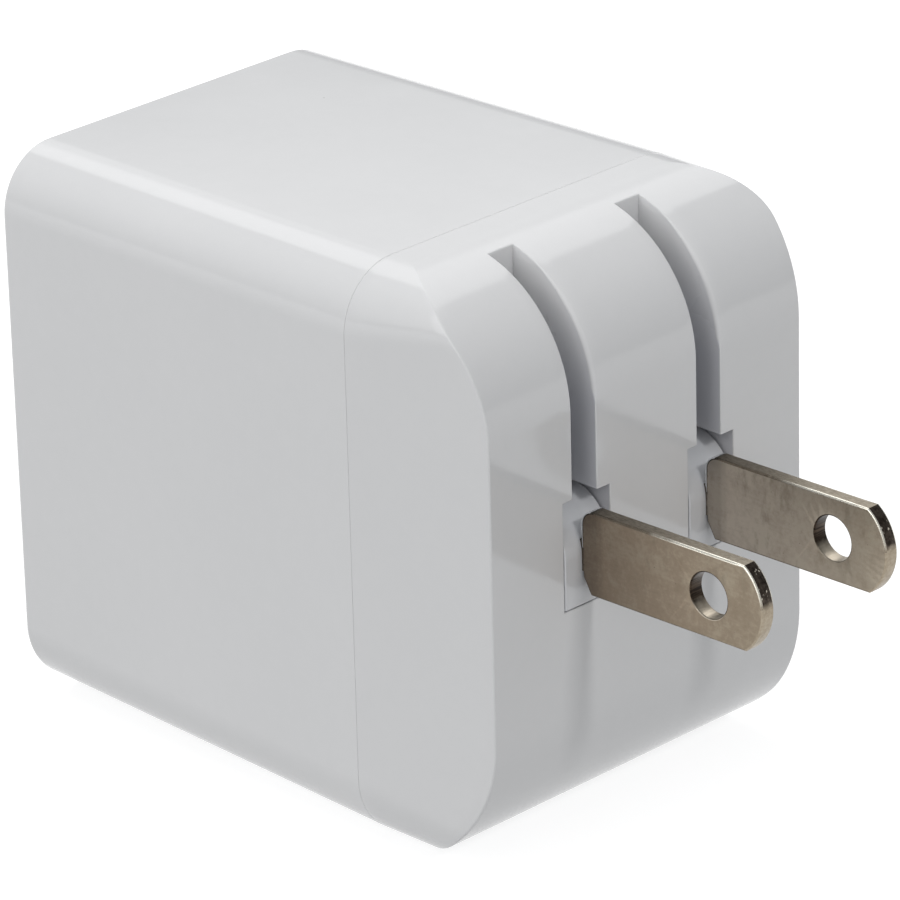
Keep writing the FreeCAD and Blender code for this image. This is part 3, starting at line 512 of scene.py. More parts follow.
SLOT_MATERIALS = {
    "white_shell": white,
    "white_hub": white_hub,
    "nickel_blade": blade_mats[0],
    "black_plastic": simple("black_nylon", (0.016, 0.016, 0.017), (0.034, 0.034, 0.036), 0.0, 0.50, 2.4, 0.01),
    "zinc_steel": zinc,
    "bronze_leaf": simple("phosphor_bronze", (0.50, 0.29, 0.14), (0.72, 0.45, 0.24), 1.0, 0.30, 1.6, 0.002, (0.4, 4, 4)),
    "spring_steel": simple("spring_steel", (0.30, 0.30, 0.31), (0.50, 0.50, 0.52), 1.0, 0.26, 1.6, 0.002, (0.4, 4, 4)),
    "board_green": board_green("circuit_board"),
    "port_steel": port_steel,
    "gold_contact": gold,
    "liner_film": simple("liner_film", (0.60, 0.60, 0.57), (0.72, 0.72, 0.69), 0.0, 0.30, 0.5, 0.01),
    "grey_box": simple("film_capacitor", (0.20, 0.21, 0.23), (0.28, 0.29, 0.31), 0.0, 0.46, 1.6, 0.006),
    "ferrite": simple("ferrite", (0.035, 0.034, 0.036), (0.075, 0.072, 0.074), 0.0, 0.52, 3.5, 0.01),
    "copper_wire": wound("enamelled_copper", (0.22, 0.07, 0.02), (0.80, 0.36, 0.16), 0.5, "Z"),
    "black_epoxy": simple("black_epoxy", (0.012, 0.012, 0.013), (0.028, 0.028, 0.030), 0.0, 0.38, 2.0, 0.005),
    "blue_epoxy": simple("blue_dip", (0.01, 0.06, 0.24), (0.02, 0.10, 0.36), 0.0, 0.30, 0.7, 0.03),
    "green_epoxy": simple("green_dip", (0.02, 0.12, 0.06), (0.03, 0.18, 0.10), 0.0, 0.30, 0.7, 0.03),
    "fuse_ceramic": simple("fuse_ceramic", (0.55, 0.50, 0.42), (0.66, 0.61, 0.52), 0.0, 0.55, 1.8, 0.006),
    "yellow_tape": simple("polyester_tape", (0.72, 0.50, 0.06), (0.84, 0.62, 0.12), 0.0, 0.24, 0.6, 0.01),
    "capacitor_sleeve": simple("capacitor_sleeve", (0.03, 0.03, 0.05), (0.05, 0.05, 0.08), 0.0, 0.28, 0.8, 0.006),
    "capacitor_can": simple("capacitor_can", (0.60, 0.60, 0.61), (0.75, 0.75, 0.76), 1.0, 0.28, 1.8, 0.003),
    "spreader_aluminium": simple("rolled_aluminium", (0.58, 0.58, 0.59), (0.74, 0.74, 0.75), 1.0, 0.34, 1.4, 0.003, (0.3, 5, 5)),
    "pad_silicone": simple("silicone_pad", (0.25, 0.34, 0.42), (0.32, 0.42, 0.50), 0.0, 0.62, 1.5, 0.02),
}

# every CAD node that stays gets the detailed material of its slot
slot_of = {s["node"]: s["material_slot"] for s in frame["record"]["subparts"]}
for node_name, ob in nodes.items():
    m = SLOT_MATERIALS.get(slot_of.get(node_name, ""), white)
    if ob.data.materials:
        for k in range(len(ob.data.materials)):
            ob.data.materials[k] = m
    else:
        ob.data.materials.append(m)


# ------------------------------------------------------------------ rear housing
def rear_sec(x, inset):
    f = (SEAM - x) / (SEAM - BACK)
    return [(x, y, z) for y, z in section(HALF - DRAFT * f, DRAFT * f, HIGH - DRAFT * f, R_TOP, R_BOT, inset=inset)]


def mouth(x, grow):
    return [(x, y, z) for y, z in section(4.65 + grow, PORT_Z - 1.8 - grow, PORT_Z + 1.8 + grow, 1.728 + grow, 1.728 + grow)]


def arc(steps):
    return [math.radians(90.0 * k / steps) for k in range(steps + 1)]


loops = []
lip = 0.062                                # the two shells' edges are broken by this much at the seam
for t in reversed(arc(3)):
    loops.append(rear_sec(SEAM - lip * (1 - math.sin(t)), lip * (1 - math.cos(t))))
for x in (SEAM - 3, -8.0, -16.0, -24.0):
    loops.append(rear_sec(x, 0))
edge = 0.32
for t in arc(5):
    loops.append(rear_sec(BACK + edge * (1 - math.sin(t)), edge * (1 - math.cos(t))))
loops.append(mouth(BACK, 1.2))
rim = 0.35
for t in arc(5):
    loops.append(mouth(BACK + rim * (1 - math.cos(t)), rim * (1 - math.sin(t))))
loops.append(mouth(BACK + 2.2, 0))
loops.append([(BACK + 2.2, y, z) for y, z in section(HALF - 2.2 - DRAFT, 2.2 + DRAFT, HIGH - 2.2 - DRAFT, R_TOP - 2.2, R_BOT - 2.2)])
loops.append([(SEAM, y, z) for y, z in section(HALF - 2.2, 2.2, HIGH - 2.2, R_TOP - 2.2, R_BOT - 2.2)])
rear = loops_object("rear_shell", loops, cap_ends=False, wrap_v=True)
for sgn in (-1, 1):
    y0, y1 = sorted((sgn * 13.25, sgn * (HALF - 1.4)))
    boolean(rear, block("rail", BACK + 1.7, BACK + 3.3, y0, y1, 4.1, 5.2), "UNION")
finish_mesh(rear)
use(rear, white, "housing", "white_shell", "rear_housing")


# ------------------------------------------------------------------ front cap
def nose_body(bm, xs, x1, z0, z1, half, rt, rb, nt, nb, cols, rows, rho_max, brk, holes):
    """Rounded-rectangle tube that starts at xs and ends in a nose that is round at its top and bottom.
    half, rt, rb are functions of x. cols are the fixed y lines on the nose, rows extra z lines.
    brk is how much the edge at xs is broken. holes(yc, zc) says which cells of the nose are left open."""
    def x_front(z):
        if z < z0 + nb:
            return x1 - nb + math.sqrt(max(nb * nb - (z0 + nb - z) ** 2, 0.0))
        if z > z1 - nt:
            return x1 - nt + math.sqrt(max(nt * nt - (z - z1 + nt) ** 2, 0.0))
        return x1

    def side(x, z):
        """(y, normal y, normal z) of the tube's right side at x, z."""
        h, a, b = half(x), rt(x), rb(x)
        if z < z0 + b:
            w = math.sqrt(max(b * b - (z0 + b - z) ** 2, 0.0))
            return h - b + w, w / b, -(z0 + b - z) / b
        if z > z1 - a:
            w = math.sqrt(max(a * a - (z - z1 + a) ** 2, 0.0))
            return h - a + w, w / a, (z - z1 + a) / a
        return h, 1.0, 0.0

    steps = 42
    zs = [z0 + nb * (1 - math.cos(math.radians(90 * k / steps))) for k in range(steps + 1)]
    zs += [z1 - nt + nt * math.sin(math.radians(90 * k / steps)) for k in range(steps + 1)]
    zs[-1] = z1
    zs = [z for z in zs if all(abs(z - r) > 0.09 for r in rows)] + list(rows)
    zs.sort()
    ns, nf, no = 9, 5, 5
    table = []
    for z in zs:
        xf = x_front(z)
        rho = rho_max * smooth((z - z0) / 1.4) * smooth((z1 - z) / 1.4)
        pts = []
        if brk > 0:
            y, ny, nz = side(xs, z)
            for t in reversed(arc(3)[1:]):
                d = brk * (1 - math.cos(t))
                pts.append(Vector((xs + brk * (1 - math.sin(t)), y - ny * d, z - nz * d)))
        xa = xs + brk
        x0 = xf - rho
        for k in range(ns + 1):
            x = lerp(xa, x0, k / ns)
            pts.append(Vector((x, side(x, z)[0], z)))
        yc = side(xf, z)[0]
        p0, p1, p2 = pts[-1], Vector((xf, yc, z)), Vector((xf, yc - rho, z))
        w = math.sqrt(0.5)
        for k in range(1, nf + 1):
            t = k / nf
            if rho > 0:
                a, b, c = (1 - t) ** 2, 2 * w * t * (1 - t), t * t
                pts.append((p0 * a + p1 * b + p2 * c) / (a + b + c))
            else:
                pts.append(p2.copy())
        for k in range(1, no):
            pts.append(Vector((xf, lerp(yc - rho, cols[-1], k / no), z)))
        right = pts
        left = [Vector((p.x, -p.y, p.z)) for p in reversed(pts)]
        mid = [Vector((xf, y, z)) for y in reversed(cols)]
        table.append(right + mid + left)
    first = (3 if brk > 0 else 0)
    n = len(table[0])
    vs = [[bm.verts.new(p) for p in row] for row in table]
    for i in range(len(vs) - 1):
        zc = (zs[i] + zs[i + 1]) / 2
        for j in range(n - 1):
            yc = (table[i][j].y + table[i][j + 1].y) / 2
            on_nose = first + ns + nf < j + 1 and j < n - (first + ns + nf) - 1
            if on_nose and holes is not None and holes(yc, zc):
                continue
            bm.faces.new((vs[i][j], vs[i][j + 1], vs[i + 1][j + 1], vs[i + 1][j]))
    for row in (vs[0], vs[-1]):             # flat strips under and over the nose, up to the start edge
        loop, last = [], None
        for v in row[first:n - first]:
            if last is None or (v.co - last.co).length > 2e-4:
                loop.append(v)
                last = v
        bm.faces.new(loop)
        for k in range(first):
            bm.faces.new((row[k], row[k + 1], row[n - 2 - k], row[n - 1 - k]))
    bm.faces.new([r[0] for r in vs] + [r[-1] for r in reversed(vs)])
    return x_front, zs


def cap_half(x):
    return HALF - TAPER * (x - SEAM) / (FACE - SEAM)


def cap_rt(x):
    return lerp(R_TOP, R_TOP_F, (x - SEAM) / (FACE - SEAM))


def cap_rb(x):
    return lerp(R_BOT, R_BOT_F, (x - SEAM) / (FACE - SEAM))


SLOT_END = HIGH - NOSE_T + math.sqrt(NOSE_T ** 2 - (FLOOR_X - (FACE - NOSE_T)) ** 2)
cols = sorted([-9.5, 9.5, -2.2, 0.0, 2.2] + [y for s in SLOTS for y in s])
rows = [13.0, 15.0, 17.2, WIN_Z0, 20.6, 22.0, 23.4, 24.8, WIN_Z1 - 1.0, WIN_Z1, 29.6, 31.8, SLOT_END]


def open_cell(y, z):
    for w0, y0, ym, y1, w1 in SLOTS:
        if WIN_Z0 < z < WIN_Z1 and w0 < y < w1:
            return True
        if WIN_Z1 < z < SLOT_END and y0 < y < y1:
            return True
    return False


bm = new_bm()
x_front, zs = nose_body(bm, SEAM, FACE, 0.0, HIGH, cap_half, cap_rt, cap_rb, NOSE_T, NOSE_B, cols, rows, 0.16, lip, open_cell)
DEEP = FACE - 3.0                          # depth of the windows before they open inside


def face(*pts):
    bm.faces.new([bm.verts.new(p) for p in pts])


for w0, y0, ym, y1, w1 in SLOTS:
    win_rows = [z for z in zs if WIN_Z0 - 1e-6 <= z <= WIN_Z1 + 1e-6]
    slot_rows = [z for z in zs if WIN_Z1 - 1.0 - 1e-6 <= z <= SLOT_END + 1e-6]
    ys = [w0, y0, ym, y1, w1]
    for a, b in zip(win_rows, win_rows[1:]):
        for y in (w0, w1):
            face((FACE, y, a), (DEEP, y, a), (DEEP, y, b), (FACE, y, b))
        for ya, yb in zip(ys, ys[1:]):
            if a >= WIN_Z1 - 1.0 - 1e-6 and y0 - 1e-6 <= ya and yb <= y1 + 1e-6:
                continue
            face((DEEP, ya, a), (DEEP, yb, a), (DEEP, yb, b), (DEEP, ya, b))
    for ya, yb in zip(ys, ys[1:]):
        face((FACE, ya, WIN_Z0), (FACE, yb, WIN_Z0), (DEEP, yb, WIN_Z0), (DEEP, ya, WIN_Z0))
    for ya, yb in ((w0, y0), (y1, w1)):
        face((FACE, ya, WIN_Z1), (DEEP, ya, WIN_Z1), (DEEP, yb, WIN_Z1), (FACE, yb, WIN_Z1))
    for a, b in zip(slot_rows, slot_rows[1:]):
        for ya, yb in ((y0, ym), (ym, y1)):
            face((FLOOR_X, ya, a), (FLOOR_X, yb, a), (FLOOR_X, yb, b), (FLOOR_X, ya, b))
        for y in (y0, y1):
            if a < WIN_Z1 - 1e-6:
                face((FLOOR_X, y, a), (DEEP, y, a), (DEEP, y, b), (FLOOR_X, y, b))
                continue
            ring = [(FLOOR_X, y, a)]
            if abs(a - WIN_Z1) < 1e-6:
                ring.append((DEEP, y, a))
            ring.append((x_front(a), y, a))
            if b < SLOT_END - 1e-6:
                ring.append((x_front(b), y, b))
            ring.append((FLOOR_X, y, b))
            face(*ring)
    for ya, yb in ((y0, ym), (ym, y1)):
        face((FLOOR_X, ya, WIN_Z1 - 1), (DEEP, ya, WIN_Z1 - 1), (DEEP, yb, WIN_Z1 - 1), (FLOOR_X, yb, WIN_Z1 - 1))
weld(bm)


def near(a, b, tol=2e-3):
    return abs(a - b) < tol


def breakable(e):
    """Edges of the slots and windows that the mould leaves slightly round."""
    p, q = e.verts[0].co, e.verts[1].co
    on_face = near(p.x, x_front(p.z)) and near(q.x, x_front(q.z))
    for w0, y0, ym, y1, w1 in SLOTS:
        for y in (y0, y1):
            if near(p.y, y) and near(q.y, y) and on_face and min(p.z, q.z) > WIN_Z1 - 1e-3 and max(p.z, q.z) < SLOT_END + 1e-3:
                return True
            if near(p.y, y) and near(q.y, y) and near(p.z, WIN_Z1) and near(q.z, WIN_Z1) and min(p.x, q.x) > DEEP - 1e-3:
                return True
        if near(p.z, SLOT_END) and near(q.z, SLOT_END) and min(p.y, q.y) > y0 - 1e-3 and max(p.y, q.y) < y1 + 1e-3 and on_face:
            return True
        for y in (w0, w1):
            if near(p.y, y) and near(q.y, y) and on_face and min(p.z, q.z) > WIN_Z0 - 1e-3 and max(p.z, q.z) < WIN_Z1 + 1e-3:
                return True
        inside = min(p.y, q.y) > w0 - 1e-3 and max(p.y, q.y) < w1 + 1e-3
        if inside and on_face and near(p.z, WIN_Z0) and near(q.z, WIN_Z0):
            return True
        if inside and on_face and near(p.z, WIN_Z1) and near(q.z, WIN_Z1) and (max(p.y, q.y) < y0 + 1e-3 or min(p.y, q.y) > y1 - 1e-3):
            return True
    return False


bmesh.ops.bevel(bm, geom=[e for e in bm.edges if breakable(e)], offset=0.09, offset_type="OFFSET",
                segments=3, profile=0.5, affect="EDGES", clamp_overlap=False, loop_slide=True)
# the outer edge of each slot is rounder where it runs over the nose
nose_x, nose_z = FACE - NOSE_T, HIGH - NOSE_T
for v in bm.verts:
    x, y, z = v.co
    if not nose_z < z < SLOT_END - 0.6:
        continue
    rho = math.hypot(x - nose_x, z - nose_z)
    for w0, y0, ym, y1, w1 in SLOTS:
        if abs(y - y1) < 0.095 and -0.003 < NOSE_T - rho < 0.097:
            k = 1 + 3.2 * smooth(min(1.0, (z - nose_z) / 1.2)) * smooth(min(1.0, (SLOT_END - 0.6 - z) / 2.5))
            r2 = NOSE_T - k * (NOSE_T - rho)
            v.co = (nose_x + (x - nose_x) * r2 / rho, y1 + k * (y - y1), nose_z + (z - nose_z) * r2 / rho)
bmesh.ops.recalc_face_normals(bm, faces=bm.faces)
cap = to_object("front_shell", bm)

CAP_WALL, NOSE_WALL = 2.6, 2.0
lip_loops = []
for x, inset in ((SEAM - 2.0, 0.2), (SEAM - 1.8, 0.0), (SEAM + 0.6, 0.0)):
    lip_loops.append([(x, y, z) for y, z in section(HALF - 2.32, 2.32, HIGH - 2.32, R_TOP - 2.32, R_BOT - 2.32, inset=inset)])
boolean(cap, loops_object("lip", lip_loops), "UNION")

bm = new_bm()
core_x = FACE - NOSE_WALL
nose_body(bm, SEAM + 1.0, core_x, CAP_WALL, HIGH - CAP_WALL,
          lambda x: HALF - CAP_WALL - TAPER * 0.85 * (x - SEAM + 0.2) / (core_x - SEAM + 0.2),
          lambda x: lerp(R_TOP - CAP_WALL, 0.6, (x - SEAM + 0.2) / (core_x - SEAM + 0.2)),
          lambda x: lerp(R_BOT - CAP_WALL, 0.9, (x - SEAM + 0.2) / (core_x - SEAM + 0.2)),
          NOSE_T - NOSE_WALL, NOSE_B - NOSE_WALL, [-9.5, 0.0, 9.5], [], 0.0, 0.0, None)
weld(bm)
core = to_object("core", bm)
boolean(core, loops_object("core_rear", [[(x, y, z) for y, z in section(HALF - 3.3, 3.3, HIGH - 3.3, R_TOP - 3.3, R_BOT - 3.3)]
                                          for x in (SEAM - 3.0, SEAM + 1.15)]), "UNION")
for w0, y0, ym, y1, w1 in SLOTS:
    boolean(core, block("channel", FLOOR_X - 1.0, FACE + 1, w0 - 0.3, w1 + 0.3, WIN_Z1 - 0.02, HIGH + 1), "DIFFERENCE")
    boolean(core, block("curtain", FLOOR_X - 1.0, FLOOR_X - 0.1, w0 - 0.3, w1 + 0.3, 24.9, WIN_Z1 + 0.5), "DIFFERENCE")
    boolean(core, block("cheek", FLOOR_X, core_x + 0.2, w1, w1 + 0.45, 25.05, WIN_Z1 + 0.1), "DIFFERENCE")
for sgn in (-1, 1):
    boolean(core, block("rib", PIVOT_X, core_x + 0.2, sgn * 10.2 - 0.8, sgn * 10.2 + 0.8, 20.4, 26.0), "DIFFERENCE")
    boolean(core, rod("boss", "X", (core_x - 4.6, 12.0 * sgn, 15.2), 2.0, 4.9), "DIFFERENCE")
boolean(cap, core, "DIFFERENCE")
boolean(cap, rod("journal_bore", "Y", (PIVOT_X, -11.6, PIVOT_Z), 1.75, 23.2, 64), "DIFFERENCE")
for sgn in (-1, 1):
    boolean(cap, rod("pilot", "X", (core_x - 5.6, 12.0 * sgn, 15.2), 0.78, 5.2), "DIFFERENCE")
cap.data.materials.clear()
for m in (white, white_slot):
    cap.data.materials.append(m)
# Faces deep in the slots and windows take the painted-shade copy of the white plastic.
for f in cap.data.polygons:
    c = f.center
    f.material_index = 0
    for w0, y0, ym, y1, w1 in SLOTS:
        deep = c.x < x_front(min(max(c.z, WIN_Z0), SLOT_END)) - 0.07 and c.x > FLOOR_X - 0.05
        if deep and y0 - 0.02 < c.y < y1 + 0.02 and WIN_Z1 - 1.01 < c.z < SLOT_END + 0.1:
            f.material_index = 1
        if deep and c.x > DEEP - 0.1 and w0 - 0.02 < c.y < w1 + 0.02 and WIN_Z0 - 0.02 < c.z < WIN_Z1 + 0.02:
            f.material_index = 1
finish_mesh(cap)
use(cap, [white, white_slot], "housing", "white_shell", "front_cap")


# ------------------------------------------------------------------ blades
def blade_outline():
    """(x, z, edge radius) round the blade, anticlockwise seen from -Y, from its tail inside the hub."""
    h = BLADE_H
    tail = PIVOT_X - 5.3
    low, top = along(0.17, -h + 1.24), along(0.17, h - 1.15)
    pts = [(tail, PIVOT_Z - 1.2, 0.1), (low[0], PIVOT_Z - 1.2, 0.06), (low[0], low[1], 0.09)]

    def add(a, up, w):
        pts.append(along(a, up) + (w,))

    for k in range(1, 5):                   # sloping lower shoulder
        add(lerp(0.17, 0.83, k / 5), lerp(-h + 1.24, -h, k / 5), 0.11)
    add(0.83, -h, 0.12)
    for k in range(1, 12):
        add(lerp(0.83, 15.419, k / 12), -h, 0.13)
    r = 3.95
    cx = 15.419 - math.sqrt(r * r - h * h)
    a0 = math.asin(h / r)
    for k in range(25):
        a = -a0 + 2 * a0 * k / 24
        add(cx + r * math.cos(a), r * math.sin(a), (0.13, 0.13, 0.13)[min(k, 24 - k, 2)])
    for k in range(1, 12):
        add(lerp(15.419, 1.32, k / 12), h, 0.16)
    for k in range(9):                      # round upper shoulder
        a = math.radians(90 + 90 * k / 8)
        add(1.32 + 1.15 * math.cos(a), h - 1.15 + 1.15 * math.sin(a), 0.13)
    pts += [(top[0], PIVOT_Z + 1.2, 0.06), (tail, PIVOT_Z + 1.2, 0.1)]
    return pts


def inward(pts):
    """Unit miter directions that point into the outline (x, z)."""
    out = []
    n = len(pts)
    for k in range(n):
        p, q, r = pts[k - 1], pts[k], pts[(k + 1) % n]
        a = Vector((q[0] - p[0], q[1] - p[1])).normalized()
        b = Vector((r[0] - q[0], r[1] - q[1])).normalized()
        na, nb = Vector((-a.y, a.x)), Vector((-b.y, b.x))
        m = (na + nb).normalized()
        out.append(m / max(0.5, m.dot(na)))
    return out


OUTLINE = blade_outline()
INWARD = inward(OUTLINE)


def make_blade(name, yc):
    bm = new_bm()
    half = BLADE_T / 2

    def ring(t, sgn):
        """Edge arc position t (0 on the rim, 90 degrees on the side face) on side sgn."""
        out = []
        for (x, z, w), m in zip(OUTLINE, INWARD):
            d = w * (1 - math.cos(t))
            out.append((x + m.x * d, yc + sgn * (half - w * (1 - math.sin(t))), z + m.y * d))
        return out

    def hole(t, sgn, w=0.10, n=56):
        out = []
        for k in range(n):
            a = 2 * math.pi * k / n
            r = HOLE_R + w * (1 - math.cos(t))
            out.append((HOLE_X + r * math.cos(a), yc + sgn * (half - w * (1 - math.sin(t))), HOLE_Z + r * math.sin(a)))
        return out

    rings = [ring(t, -1) for t in reversed(arc(4))] + [ring(t, 1) for t in arc(4)]
    outer = grid(bm, rings, True, False)
    tip_x = along(15.419, 0)[0]
    flat_row = {v for v in outer[len(arc(4)) - 1]}, {v for v in outer[len(arc(4))]}
    for f in bm.faces:
        c = f.calc_center_median()
        rim = any(v in flat_row[0] for v in f.verts) and any(v in flat_row[1] for v in f.verts)
        mid = BLADE_MID + (c.x - FACE) * LEAN_S
        # edge faces within 1.3 mm of the face take the painted root shade
        if c.x < FACE + 1.3 and not rim:
            f.material_index = 6
        elif c.x > tip_x - 0.02:
            f.material_index = 2 if rim or c.z < 24.3 else 1
        elif c.x < FACE + 0.02 or c.z < mid:
            f.material_index = 5
        else:
            f.material_index = 3 if rim else 1
    done = set(bm.faces)
    rings = [hole(t, -1) for t in reversed(arc(3))] + [hole(t, 1) for t in arc(3)]
    inner = grid(bm, rings, True, False)
    for f in bm.faces:
        if f not in done:
            f.material_index = 4
    for o, i in ((outer[0], inner[0]), (outer[-1], inner[-1])):
        edges = []
        for loop in (o, i):
            for k in range(len(loop)):
                e = bm.edges.get((loop[k], loop[(k + 1) % len(loop)]))
                edges.append(e)
        got = bmesh.ops.triangle_fill(bm, use_beauty=True, use_dissolve=False, edges=edges)
        for f in got["geom"]:
            if isinstance(f, bmesh.types.BMFace):
                f.material_index = 0
    weld(bm)
    return to_object(name, bm)


def plain_blade(name, yc, grow=0.0):
    loops = [[(x, yc + s * (BLADE_T / 2 + grow), z) for x, z, w in OUTLINE] for s in (-1, 1)]
    return loops_object(name, loops)


# ------------------------------------------------------------------ prong rotor
HUB_R, HUB_DROP = 3.88, 3.8
hub_parts = []
for i in (0, 1):
    y0 = -8.65 + 0.03 + PITCH * i
    y1 = -8.65 + 4.58 + PITCH * i

    def hub_ring(y, inset):
        out = []
        r = HUB_R - inset
        for k in range(73):
            a = math.radians(270.0 * k / 72)
            out.append((PIVOT_X + r * math.cos(a), y, PIVOT_Z + r * math.sin(a)))
        c = 0.14
        x, z = PIVOT_X + r, PIVOT_Z - HUB_DROP + inset
        for k in range(5):
            a = math.radians(-90 + 90 * k / 4)
            out.append((x - c + c * math.cos(a), y, z + c + c * math.sin(a)))
        return out

    b = 0.10
    rings = [hub_ring(y0 + b * (1 - math.sin(t)), b * (1 - math.cos(t))) for t in reversed(arc(3))]
    rings += [hub_ring(y1 - b * (1 - math.sin(t)), b * (1 - math.cos(t))) for t in arc(3)]
    hub_parts.append(loops_object("hub_lobe_%d" % i, rings))
hub = rod("prong_rotor_moulding", "Y", (PIVOT_X, -11.3, PIVOT_Z), 1.65, 22.6, 64)
boolean(hub, block("flat_a", PIVOT_X - 3, PIVOT_X - 1.45, -1.6, 1.6, PIVOT_Z - 3, PIVOT_Z + 3), "DIFFERENCE")
boolean(hub, block("flat_b", PIVOT_X - 3, PIVOT_X + 3, -1.6, 1.6, PIVOT_Z + 1.45, PIVOT_Z + 3), "DIFFERENCE")
for p in hub_parts:
    boolean(hub, p, "UNION")
for yc in BLADE_Y:
    boolean(hub, plain_blade("blade_space", yc), "DIFFERENCE")
finish_mesh(hub)
use(hub, white_hub, "prong_rotor", "white_hub", "prong_hub")

rng = random.Random(7)


def root_flash(name, yc):
    """Ragged lip of white plastic that hugs the upper root corner of a blade."""
    h = BLADE_H
    path = [along(0.17, 0.3 + 1.75 * k / 6) for k in range(6)]
    for k in range(8):
        a = math.radians(180 - 90 * k / 8)
        path.append(along(1.32 + 1.15 * math.cos(a), h - 1.15 + 1.15 * math.sin(a)))
    fine = []
    for p, q in zip(path, path[1:]):
        fine += [p, (lerp(p[0], q[0], 0.5), lerp(p[1], q[1], 0.5))]
    bm = new_bm()
    rings = []
    n = len(fine)
    for k, (x, z) in enumerate(fine):
        p, q = fine[max(0, k - 1)], fine[min(n - 1, k + 1)]
        t = Vector((q[0] - p[0], q[1] - p[1])).normalized()
        nx, nz = -t.y, t.x
        end = min(1.0, k / 4, (n - 1 - k) / 5)
        w = (0.02 + 0.09 * rng.random() ** 2) * end + 0.002
        s = BLADE_T / 2 + 0.02 + 0.03 * rng.random() * end
        i = 0.03
        rings.append([(x - nx * i, yc - s, z - nz * i), (x + nx * w, yc - s + 0.02, z + nz * w),
                      (x + nx * w, yc + s - 0.02, z + nz * w), (x - nx * i, yc + s, z - nz * i)])
    vs = grid(bm, rings, True, False)
    bm.faces.new(vs[0])
    bm.faces.new(list(reversed(vs[-1])))
    bmesh.ops.recalc_face_normals(bm, faces=bm.faces)
    ob = to_object(name, bm)
    finish_mesh(ob, 60)
    use(ob, white_hub, "prong_rotor", "white_hub")


for name, yc in (("line", BLADE_Y[0]), ("neutral", BLADE_Y[1])):
    root_flash("root_flash_" + name, yc)

for name, yc in (("line", BLADE_Y[0]), ("neutral", BLADE_Y[1])):
    ob = make_blade("prong_blade_" + name, yc)
    finish_mesh(ob, 30)
    use(ob, blade_mats if name == "line" else blade_mats_b_painted_light, "prong_rotor", "nickel_blade", "blade_" + name)


# ------------------------------------------------------------------ outlet in the back
def stadium(x, inset, w=8.94, h=3.2):
    w, h = w - 2 * inset, h - 2 * inset
    return [(x, y, z) for y, z in section(w / 2, PORT_Z - h / 2, PORT_Z + h / 2, h * 0.48, h * 0.48, 12)]


mouth_x, board_x = BACK + 0.25, BACK + 6.75
loops = []
for t in arc(3):
    loops.append(stadium(mouth_x + 0.1 * (1 - math.sin(t)), 0.1 * (1 - math.cos(t))))
for t in reversed(arc(3)):
    loops.append(stadium(mouth_x + 0.16 * (1 - math.sin(t)), 0.3 - 0.16 * (1 - math.cos(t))))
loops.append(stadium(board_x, 0.3))
loops.append(stadium(board_x, 0.0))
ob = loops_object("outlet_shell", loops, cap_ends=False, wrap_v=True)
finish_mesh(ob)
use(ob, port_steel, "housing", "port_steel", "usb_c_shell")


def slab_ring(x, hy, hz, r):
    return [(x, y, z) for y, z in section(hy, PORT_Z - hz, PORT_Z + hz, r, r, 4)]


tongue = loops_object("outlet_tongue", [slab_ring(mouth_x + 0.9, 3.05, 0.16, 0.08), slab_ring(mouth_x + 1.02, 3.22, 0.24, 0.10),
                                        slab_ring(mouth_x + 1.25, 3.35, 0.33, 0.10), slab_ring(board_x - 0.5, 3.35, 0.33, 0.10)])
base_loops = [stadium(board_x - 1.5, 0.45), stadium(board_x - 1.38, 0.32), stadium(board_x, 0.32)]
boolean(tongue, loops_object("outlet_base", base_loops), "UNION")
finish_mesh(tongue)
use(tongue, port_black, "housing", "black_plastic", "usb_c_tongue")

bm = new_bm()
for k in range(12):
    yy = -2.75 + 0.5 * k
    for sgn in (-1, 1):
        zc = PORT_Z + sgn * 0.33
        for a, b in (((mouth_x + 1.6, 0.10, 0.02), (mouth_x + 4.7, 0.125, 0.06)),):
            rings = []
            for x, hy, top in ((a[0], 0.08, 0.012), (a[0] + 0.12, 0.115, 0.045), (a[0] + 0.2, 0.125, 0.06), (b[0], 0.125, 0.06)):
                ring = [(x, yy - hy, zc - sgn * 0.02), (x, yy + hy, zc - sgn * 0.02), (x, yy + hy, zc + sgn * (top - 0.02)),
                        (x, yy + hy - 0.02, zc + sgn * top), (x, yy - hy + 0.02, zc + sgn * top), (x, yy - hy, zc + sgn * (top - 0.02))]
                rings.append(ring)
            vs = grid(bm, rings, True, False)
            bm.faces.new(list(reversed(vs[0])))
            bm.faces.new(vs[-1])
bmesh.ops.recalc_face_normals(bm, faces=bm.faces)
ob = to_object("outlet_contacts", bm)
finish_mesh(ob, 50)
use(ob, gold, "housing", "gold_contact", "usb_c_contacts")


# ------------------------------------------------------------------ floor, light, camera
def floor_material():
    n = Nodes("pale_floor")
    f = n.noise(0.02, 3, 0.5)
    n.color(n.mix(f, (0.45, 0.45, 0.45), (0.48, 0.48, 0.48)))
    n.set(Roughness=0.9)
    n.set(**{"Specular_IOR_Level": 0.1, "Emission_Strength": 0.74})
    n.b.inputs["Emission Color"].default_value = (1, 1, 1, 1)
    return n.mat


fm = bpy.data.meshes.new("floor")
fm.from_pydata([(-12, -12, -0.00005), (12, -12, -0.00005), (12, 12, -0.00005), (-12, 12, -0.00005)], [], [(0, 1, 2, 3)])
floor = bpy.data.objects.new("floor", fm)
scene.collection.objects.link(floor)
fm.materials.append(floor_material())
floor.visible_diffuse = False              # the world below the horizon stands in for its soft bounce

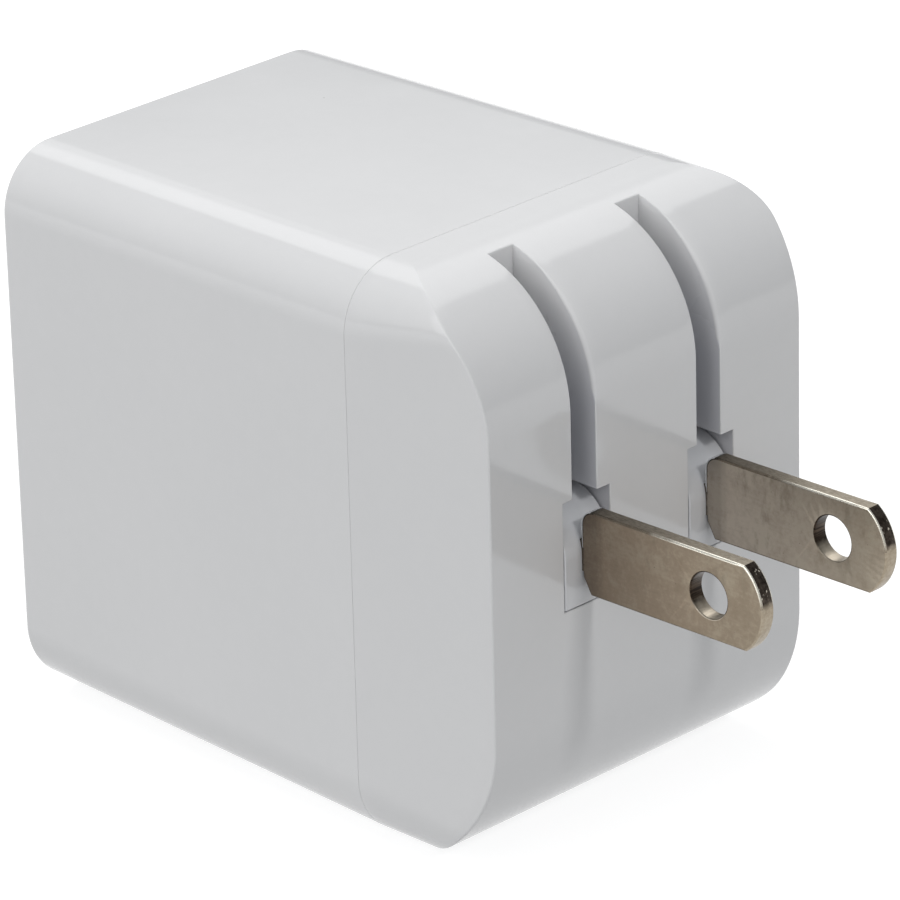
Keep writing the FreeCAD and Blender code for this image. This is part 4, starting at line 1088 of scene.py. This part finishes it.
world = bpy.data.worlds.new("studio")
scene.world = world
world.use_nodes = True
wt = world.node_tree
sky = wt.nodes.new("ShaderNodeTexCoord")
split = wt.nodes.new("ShaderNodeSeparateXYZ")
rise = wt.nodes.new("ShaderNodeMapRange")
rise.inputs[1].default_value, rise.inputs[2].default_value = -0.3, 0.3
rise.inputs[3].default_value, rise.inputs[4].default_value = 0.46, 0.435
wt.links.new(sky.outputs["Generated"], split.inputs[0])
wt.links.new(split.outputs[2], rise.inputs[0])
wt.links.new(rise.outputs[0], wt.nodes["Background"].inputs[1])
wt.nodes["Background"].inputs[0].default_value = (0.97, 0.985, 1.0, 1)


def panel(name, direction, distance, sx, sy, radiance, tint=(1, 1, 1), spread=180, target=(0.0, 0.0, 0.022)):
    """Softbox: a rectangle of even brightness that faces the object."""
    d = Vector(direction).normalized()
    light = bpy.data.lights.new(name, "AREA")
    light.shape, light.size, light.size_y = "RECTANGLE", sx, sy
    light.energy = radiance * math.pi * sx * sy
    light.color = tint
    light.spread = math.radians(spread)
    ob = bpy.data.objects.new(name, light)
    ob.location = Vector(target) + d * distance
    ob.rotation_mode = "QUATERNION"
    ob.rotation_quaternion = d.to_track_quat("Z", "Y")
    ob.visible_camera = False
    scene.collection.objects.link(ob)
    return ob


key = panel("key_box", (0.95, 0.05, 0.78), 1.25, 0.14, 0.14, 44.5)
key.visible_glossy = False
panel("left_box", (-0.05, -1.0, 0.52), 1.1, 1.2, 0.8, 1.53)
back = panel("top_box", (-0.35, -0.12, 1.0), 1.2, 1.0, 0.9, 2.06)
back.visible_glossy = False
for name, up, tall, glow in (("rear_sheen", 0.788, 0.75, 0.70), ("rear_sheen_tall", 0.605, 1.09, 0.75)):
    sheen = panel(name, (-0.443, 0.428, up), 1.2, 1.2, tall, glow)
    sheen.visible_diffuse = False

cam_data = bpy.data.cameras.new("camera")
cam_data.sensor_width = 36.0
cam_data.sensor_fit = "HORIZONTAL"
cam_data.lens = 6329.3883 / 900.0 * 36.0
cam_data.clip_start, cam_data.clip_end = 0.02, 20.0
cam = bpy.data.objects.new("camera", cam_data)
right = Vector((0.708355018, 0.705456035, -0.023768699))
down = Vector((0.266932663, -0.298898526, -0.916191369))
ahead = Vector((-0.653437160, 0.642644111, -0.400035529))
eye = Vector((0.2952718673, -0.2944831037, 0.2064489346))
cam.matrix_world = Matrix(((right.x, -down.x, -ahead.x, eye.x), (right.y, -down.y, -ahead.y, eye.y),
                           (right.z, -down.z, -ahead.z, eye.z), (0, 0, 0, 1)))
scene.collection.objects.link(cam)
scene.camera = cam
scene.view_settings.view_transform = "Standard"
scene.view_settings.look = "None"
